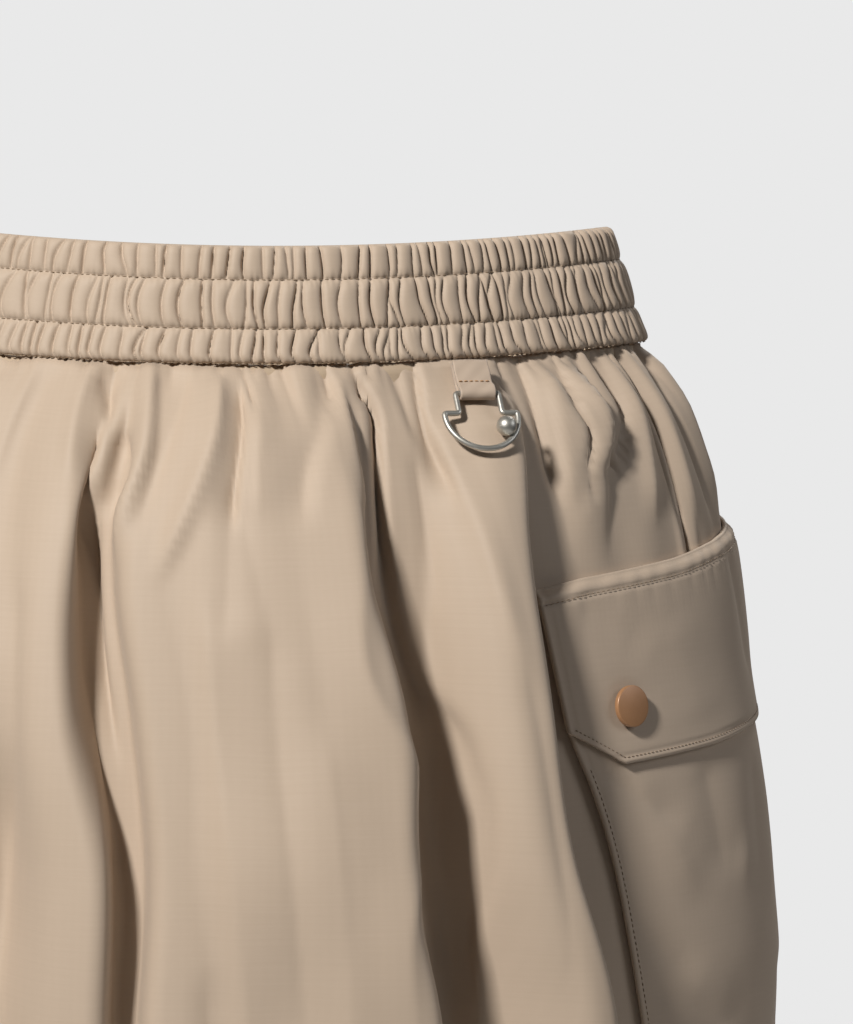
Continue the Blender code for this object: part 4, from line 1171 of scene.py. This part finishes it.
# %% Tape
def make_tape():
    middle = RING_WIRE / 2 + LOOP_ROOM + TAPE_PLY / 2
    seam_height = -SKIRT_TOP - waist_dip(TAPE_TURN, SKIRT_TOP) - SEAM_GAP
    seam = (seam_height - tape_frame.translation.z / MM) / tape_frame.col[2].z
    front = -(TAPE_PLY / 2 + 0.15) + middle - TAPE_PLY
    path = [(-front, seam - (seam - TAPE_PINCHED) * step / 8) for step in range(9)]
    path.append((-middle * 0.8, 2.0))
    for step in range(17):
        bend = math.pi * step / 16
        path.append((-middle * math.cos(bend), -middle * math.sin(bend)))
    path += [(middle, 3.0), (middle, seam)]
    path = np.array(path)
    across = np.linspace(-TAPE_WIDTH / 2, TAPE_WIDTH / 2, 26)
    local = np.zeros((len(across), len(path), 3))
    local[..., 0] = across[:, None] * (1 + 0.012 * np.sin(path[None, :, 1] * 0.9))
    local[..., 1] = path[None, :, 0] - 0.12 * np.cos(across[:, None] * 0.5) * (path[None, :, 1] > 2)
    local[..., 2] = path[None, :, 1]
    turned = np.array(tape_frame.to_3x3())
    points = local @ turned.T + np.array(tape_frame.translation) / MM
    run = np.concatenate([[0], np.cumsum(np.linalg.norm(np.diff(path, axis=0), axis=1))])
    flat = np.stack(np.broadcast_arrays(across[:, None], run[None, :]), axis=-1)
    tape = thicken(net_object("ring_loop_tape", points, flat, twill), TAPE_PLY)
    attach(tape, "garment")
    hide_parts("ring_tape")
    print("tape is", round(run[-1], 1), "mm long")
    places = np.arange(-TAPE_WIDTH / 2 + 1.1, TAPE_WIDTH / 2 - 0.6, TAPE_PITCH)
    row = np.stack([places, np.full_like(places, -front - TAPE_PLY / 2 - 0.3),
                    np.full_like(places, TAPE_PINCHED + 0.4)], axis=1)
    centres = row @ turned.T + np.array(tape_frame.translation) / MM
    ahead = np.tile(turned[:, 0], (len(places), 1))
    outward = np.tile(-turned[:, 1], (len(places), 1))
    stitch_row("stitches_tape", centres, ahead, outward, TAPE_STITCH, TAPE_THREAD, ring_thread)


make_tape()


# %% Ring
def spin(count, angle, centre):
    """Turns the selected edge loop about an axis along the depth, leaving a bent tube behind."""
    bpy.ops.mesh.spin(steps=count, angle=angle, center=centre, axis=(0, 1, 0))


def extrude(shift):
    bpy.ops.mesh.extrude_region_move(TRANSFORM_OT_translate={"value": shift})


def make_ring():
    bar, bow, bend = RING_BAR / 2 * MM, RING_BOW * MM, RING_BEND * MM
    neck = RING_NECK * MM
    bpy.ops.object.select_all(action="DESELECT")
    bpy.ops.mesh.primitive_circle_add(vertices=16, radius=RING_WIRE / 2 * MM, fill_type="NOTHING",
                                      location=(0, 0, 0), rotation=(0, math.pi / 2, 0))
    ring = bpy.context.active_object
    ring.name = "metal_d_ring"
    bpy.ops.object.transform_apply(location=True, rotation=True, scale=True)
    bpy.ops.object.mode_set(mode="EDIT")
    bpy.ops.mesh.select_all(action="SELECT")
    extrude((bar - bend, 0, 0))
    spin(8, -math.pi / 2, (bar - bend, 0, -bend))
    extrude((0, 0, -(neck - 2 * bend)))
    spin(8, math.pi / 2, (bar + bend, 0, -neck + bend))
    extrude((bow - bar - 2 * bend, 0, 0))
    spin(8, -math.pi / 2, (bow - bend, 0, -neck - bend))
    extrude((0, 0, -(RING_BOW_DEPTH * MM - bow)))
    spin(24, -math.pi / 2, (0, 0, -neck - bend - RING_BOW_DEPTH * MM + bow))
    bpy.ops.object.mode_set(mode="OBJECT")
    return ring


ring = make_ring()
print("half ring:", len(ring.data.vertices), "points")


# %% Whole ring with its bead
def apply_modifier(thing, name, kind, **settings):
    """Adds a modifier with these settings and makes its result the object's own mesh."""
    select_only(thing)
    added = thing.modifiers.new(name, kind)
    for key, value in settings.items():
        setattr(added, key, value)
    bpy.ops.object.modifier_apply(modifier=name)


apply_modifier(ring, "other_half", "MIRROR", use_axis=(True, False, False), merge_threshold=1e-5)
bpy.ops.object.mode_set(mode="EDIT")
bpy.ops.mesh.select_all(action="SELECT")
bpy.ops.mesh.remove_doubles(threshold=1e-6)
bpy.ops.mesh.normals_make_consistent(inside=False)
bpy.ops.object.mode_set(mode="OBJECT")
bpy.ops.object.select_all(action="DESELECT")
bpy.ops.mesh.primitive_uv_sphere_add(segments=36, ring_count=24, radius=BEAD_RADIUS * MM,
                                     location=(BEAD_ASIDE * MM, -BEAD_PROUD * MM,
                                               -(RING_NECK + BEAD_BELOW) * MM))
bead = bpy.context.active_object
bpy.ops.object.transform_apply(location=True, rotation=True, scale=True)
apply_modifier(ring, "bead", "BOOLEAN", operation="UNION", object=bead)
bpy.data.objects.remove(bead, do_unlink=True)
ring.data.transform(ring_frame)
select_only(ring)
bpy.ops.object.shade_smooth_by_angle(angle=math.radians(40))
ring.data.materials.clear()
ring.data.materials.append(nickel)
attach(ring, "ring")
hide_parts("d_ring")
print("ring with its bead:", len(ring.data.polygons), "faces")

# %% [markdown]
# ## Press studs
#
# Each stud's cap is a flat enamelled disc with a narrow raised rim, pressed through the flap. A
# cylinder's top is inset three times for the rim and the dish. The cap is modelled once and
# copied to its four places.

# %% Cap of a stud
SNAP_RADIUS, SNAP_HEIGHT, SNAP_SEAT = 7.5, 2.4, 0.8
CAP_INSETS = ((0.75, 0), (0.3, -0.3), (2.4, 0.08))      # width and rise of the rim, step and dish
CAP_EDGE = 0.45


def make_cap():
    bpy.ops.object.select_all(action="DESELECT")
    bpy.ops.mesh.primitive_cylinder_add(vertices=64, radius=SNAP_RADIUS * MM, depth=SNAP_HEIGHT * MM,
                                        location=(0, 0, SNAP_HEIGHT / 2 * MM))
    cap = bpy.context.active_object
    bpy.ops.object.transform_apply(location=True, rotation=True, scale=True)
    top = [face.index for face in cap.data.polygons if face.normal.z > 0.9]
    for face in cap.data.polygons:
        face.select = face.index in top
    bpy.ops.object.mode_set(mode="EDIT")
    bpy.ops.mesh.select_mode(type="FACE")
    for width, rise in CAP_INSETS:
        bpy.ops.mesh.inset(thickness=width * MM, depth=rise * MM)
    bpy.ops.mesh.select_mode(type="VERT")
    bpy.ops.object.mode_set(mode="OBJECT")
    apply_modifier(cap, "round_edges", "BEVEL", width=CAP_EDGE * MM, segments=3, limit_method="ANGLE",
                   angle_limit=math.radians(35))
    select_only(cap)
    bpy.ops.object.shade_smooth_by_angle(angle=math.radians(30))
    cap.data.materials.append(enamel)
    return cap


def place_cap(name, node, side, turn, drop):
    """A copy of the cap, square to the flap at this place."""
    share = (turn - FLAP["turn"][0]) / (FLAP["turn"][-1] - FLAP["turn"][0])
    seat = FLAP_OUT + bag_puff(share, drop) + SNAP_SEAT
    centre = skirt_out(side * turn, drop, seat)
    normal = Vector(skirt_out(side * turn, drop, seat + 1) - centre).normalized()
    cap = bpy.data.objects.new(name, cap_form.data.copy())
    bpy.context.scene.collection.objects.link(cap)
    cap.data.transform(Matrix.Translation(Vector(centre) * MM)
                       @ normal.to_track_quat("Z", "Y").to_matrix().to_4x4())
    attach(cap, "garment")
    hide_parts(node)
    return cap


cap_form = make_cap()
for word, side in SIDES:
    for place, turn, drop in SNAP_PLACES:
        cap = place_cap(f"cap_{word}_{place}", f"snap_{word}_{place}", side, turn, drop)
bpy.data.objects.remove(cap_form, do_unlink=True)
print("caps:", len(SIDES) * len(SNAP_PLACES), "of", len(cap.data.polygons), "faces")

# %% [markdown]
# ## Studio
#
# A key light stands high on the left, a wide fill stands on the right and a third light behind,
# and the paper all round is pale. The folds are deep, so most of their shape is told by the key
# light's shadows.

# %% Lights, floor and surroundings
TARGET = Vector((0.05, -0.1, -0.15))
WARM, COOL = (1.0, 0.98, 0.95), (0.94, 0.96, 1.0)
FLOOR_HEIGHT = -0.85


def area_light(name, azimuth, elevation, distance, size, power, colour):
    """An area light placed round the garment; azimuth 0 stands at the camera."""
    data = bpy.data.lights.new(name, "AREA")
    data.size = size
    data.energy = power
    data.color = colour
    lamp = bpy.data.objects.new(name, data)
    bpy.context.scene.collection.objects.link(lamp)
    side, height = math.radians(azimuth), math.radians(elevation)
    away = Vector((math.sin(side) * math.cos(height), -math.cos(side) * math.cos(height),
                   math.sin(height)))
    lamp.location = TARGET + away * distance
    lamp.rotation_euler = (-away).to_track_quat("-Z", "Y").to_euler()
    return lamp


key = area_light("key", -36, 36, 2.2, 0.24, 62, WARM)
area_light("fill", 78, 26, 2.4, 1.2, 11.0, COOL)
area_light("back_key", 150, 40, 2.4, 0.8, 14, WARM)

world = bpy.data.worlds.new("studio")
bpy.context.scene.world = world
world.use_nodes = True
tree = world.node_tree
seen = Field(tree, tree.nodes.new("ShaderNodeLightPath").outputs["Is Camera Ray"])
paper = tree.nodes["Background"]
paper.inputs["Color"].default_value = (0.815, 0.815, 0.815, 1)
shade = seen.node("ShaderNodeBackground", None, Color=(0.80, 0.82, 0.86, 1), Strength=0.035)
mixed = seen.node("ShaderNodeMixShader", None, _0=seen, _1=shade, _2=Field(tree, paper.outputs[0]))
tree.links.new(mixed.socket, tree.nodes["World Output"].inputs["Surface"])

bpy.ops.object.select_all(action="DESELECT")
bpy.ops.mesh.primitive_circle_add(vertices=96, radius=1.0, fill_type="NGON",
                                  location=(0, 0, FLOOR_HEIGHT))
floor = bpy.context.active_object
floor.name = "studio_floor"
bpy.ops.object.transform_apply(location=True, rotation=True, scale=True)
floor_finish, floor_shader, floor_place, _ = new_material("pale_floor", 0.8)
floor_tone = floor_place.node("ShaderNodeTexNoise", None, _0=floor_place, Scale=4.0, Detail=2.0)
feed(floor_shader, Base_Color=floor_tone.mix((0.74, 0.74, 0.74, 1), (0.8, 0.8, 0.8, 1)))
floor.data.materials.append(floor_finish)
bpy.context.scene.view_settings.view_transform = "Standard"
print("key light at", tuple(round(value, 2) for value in key.location))
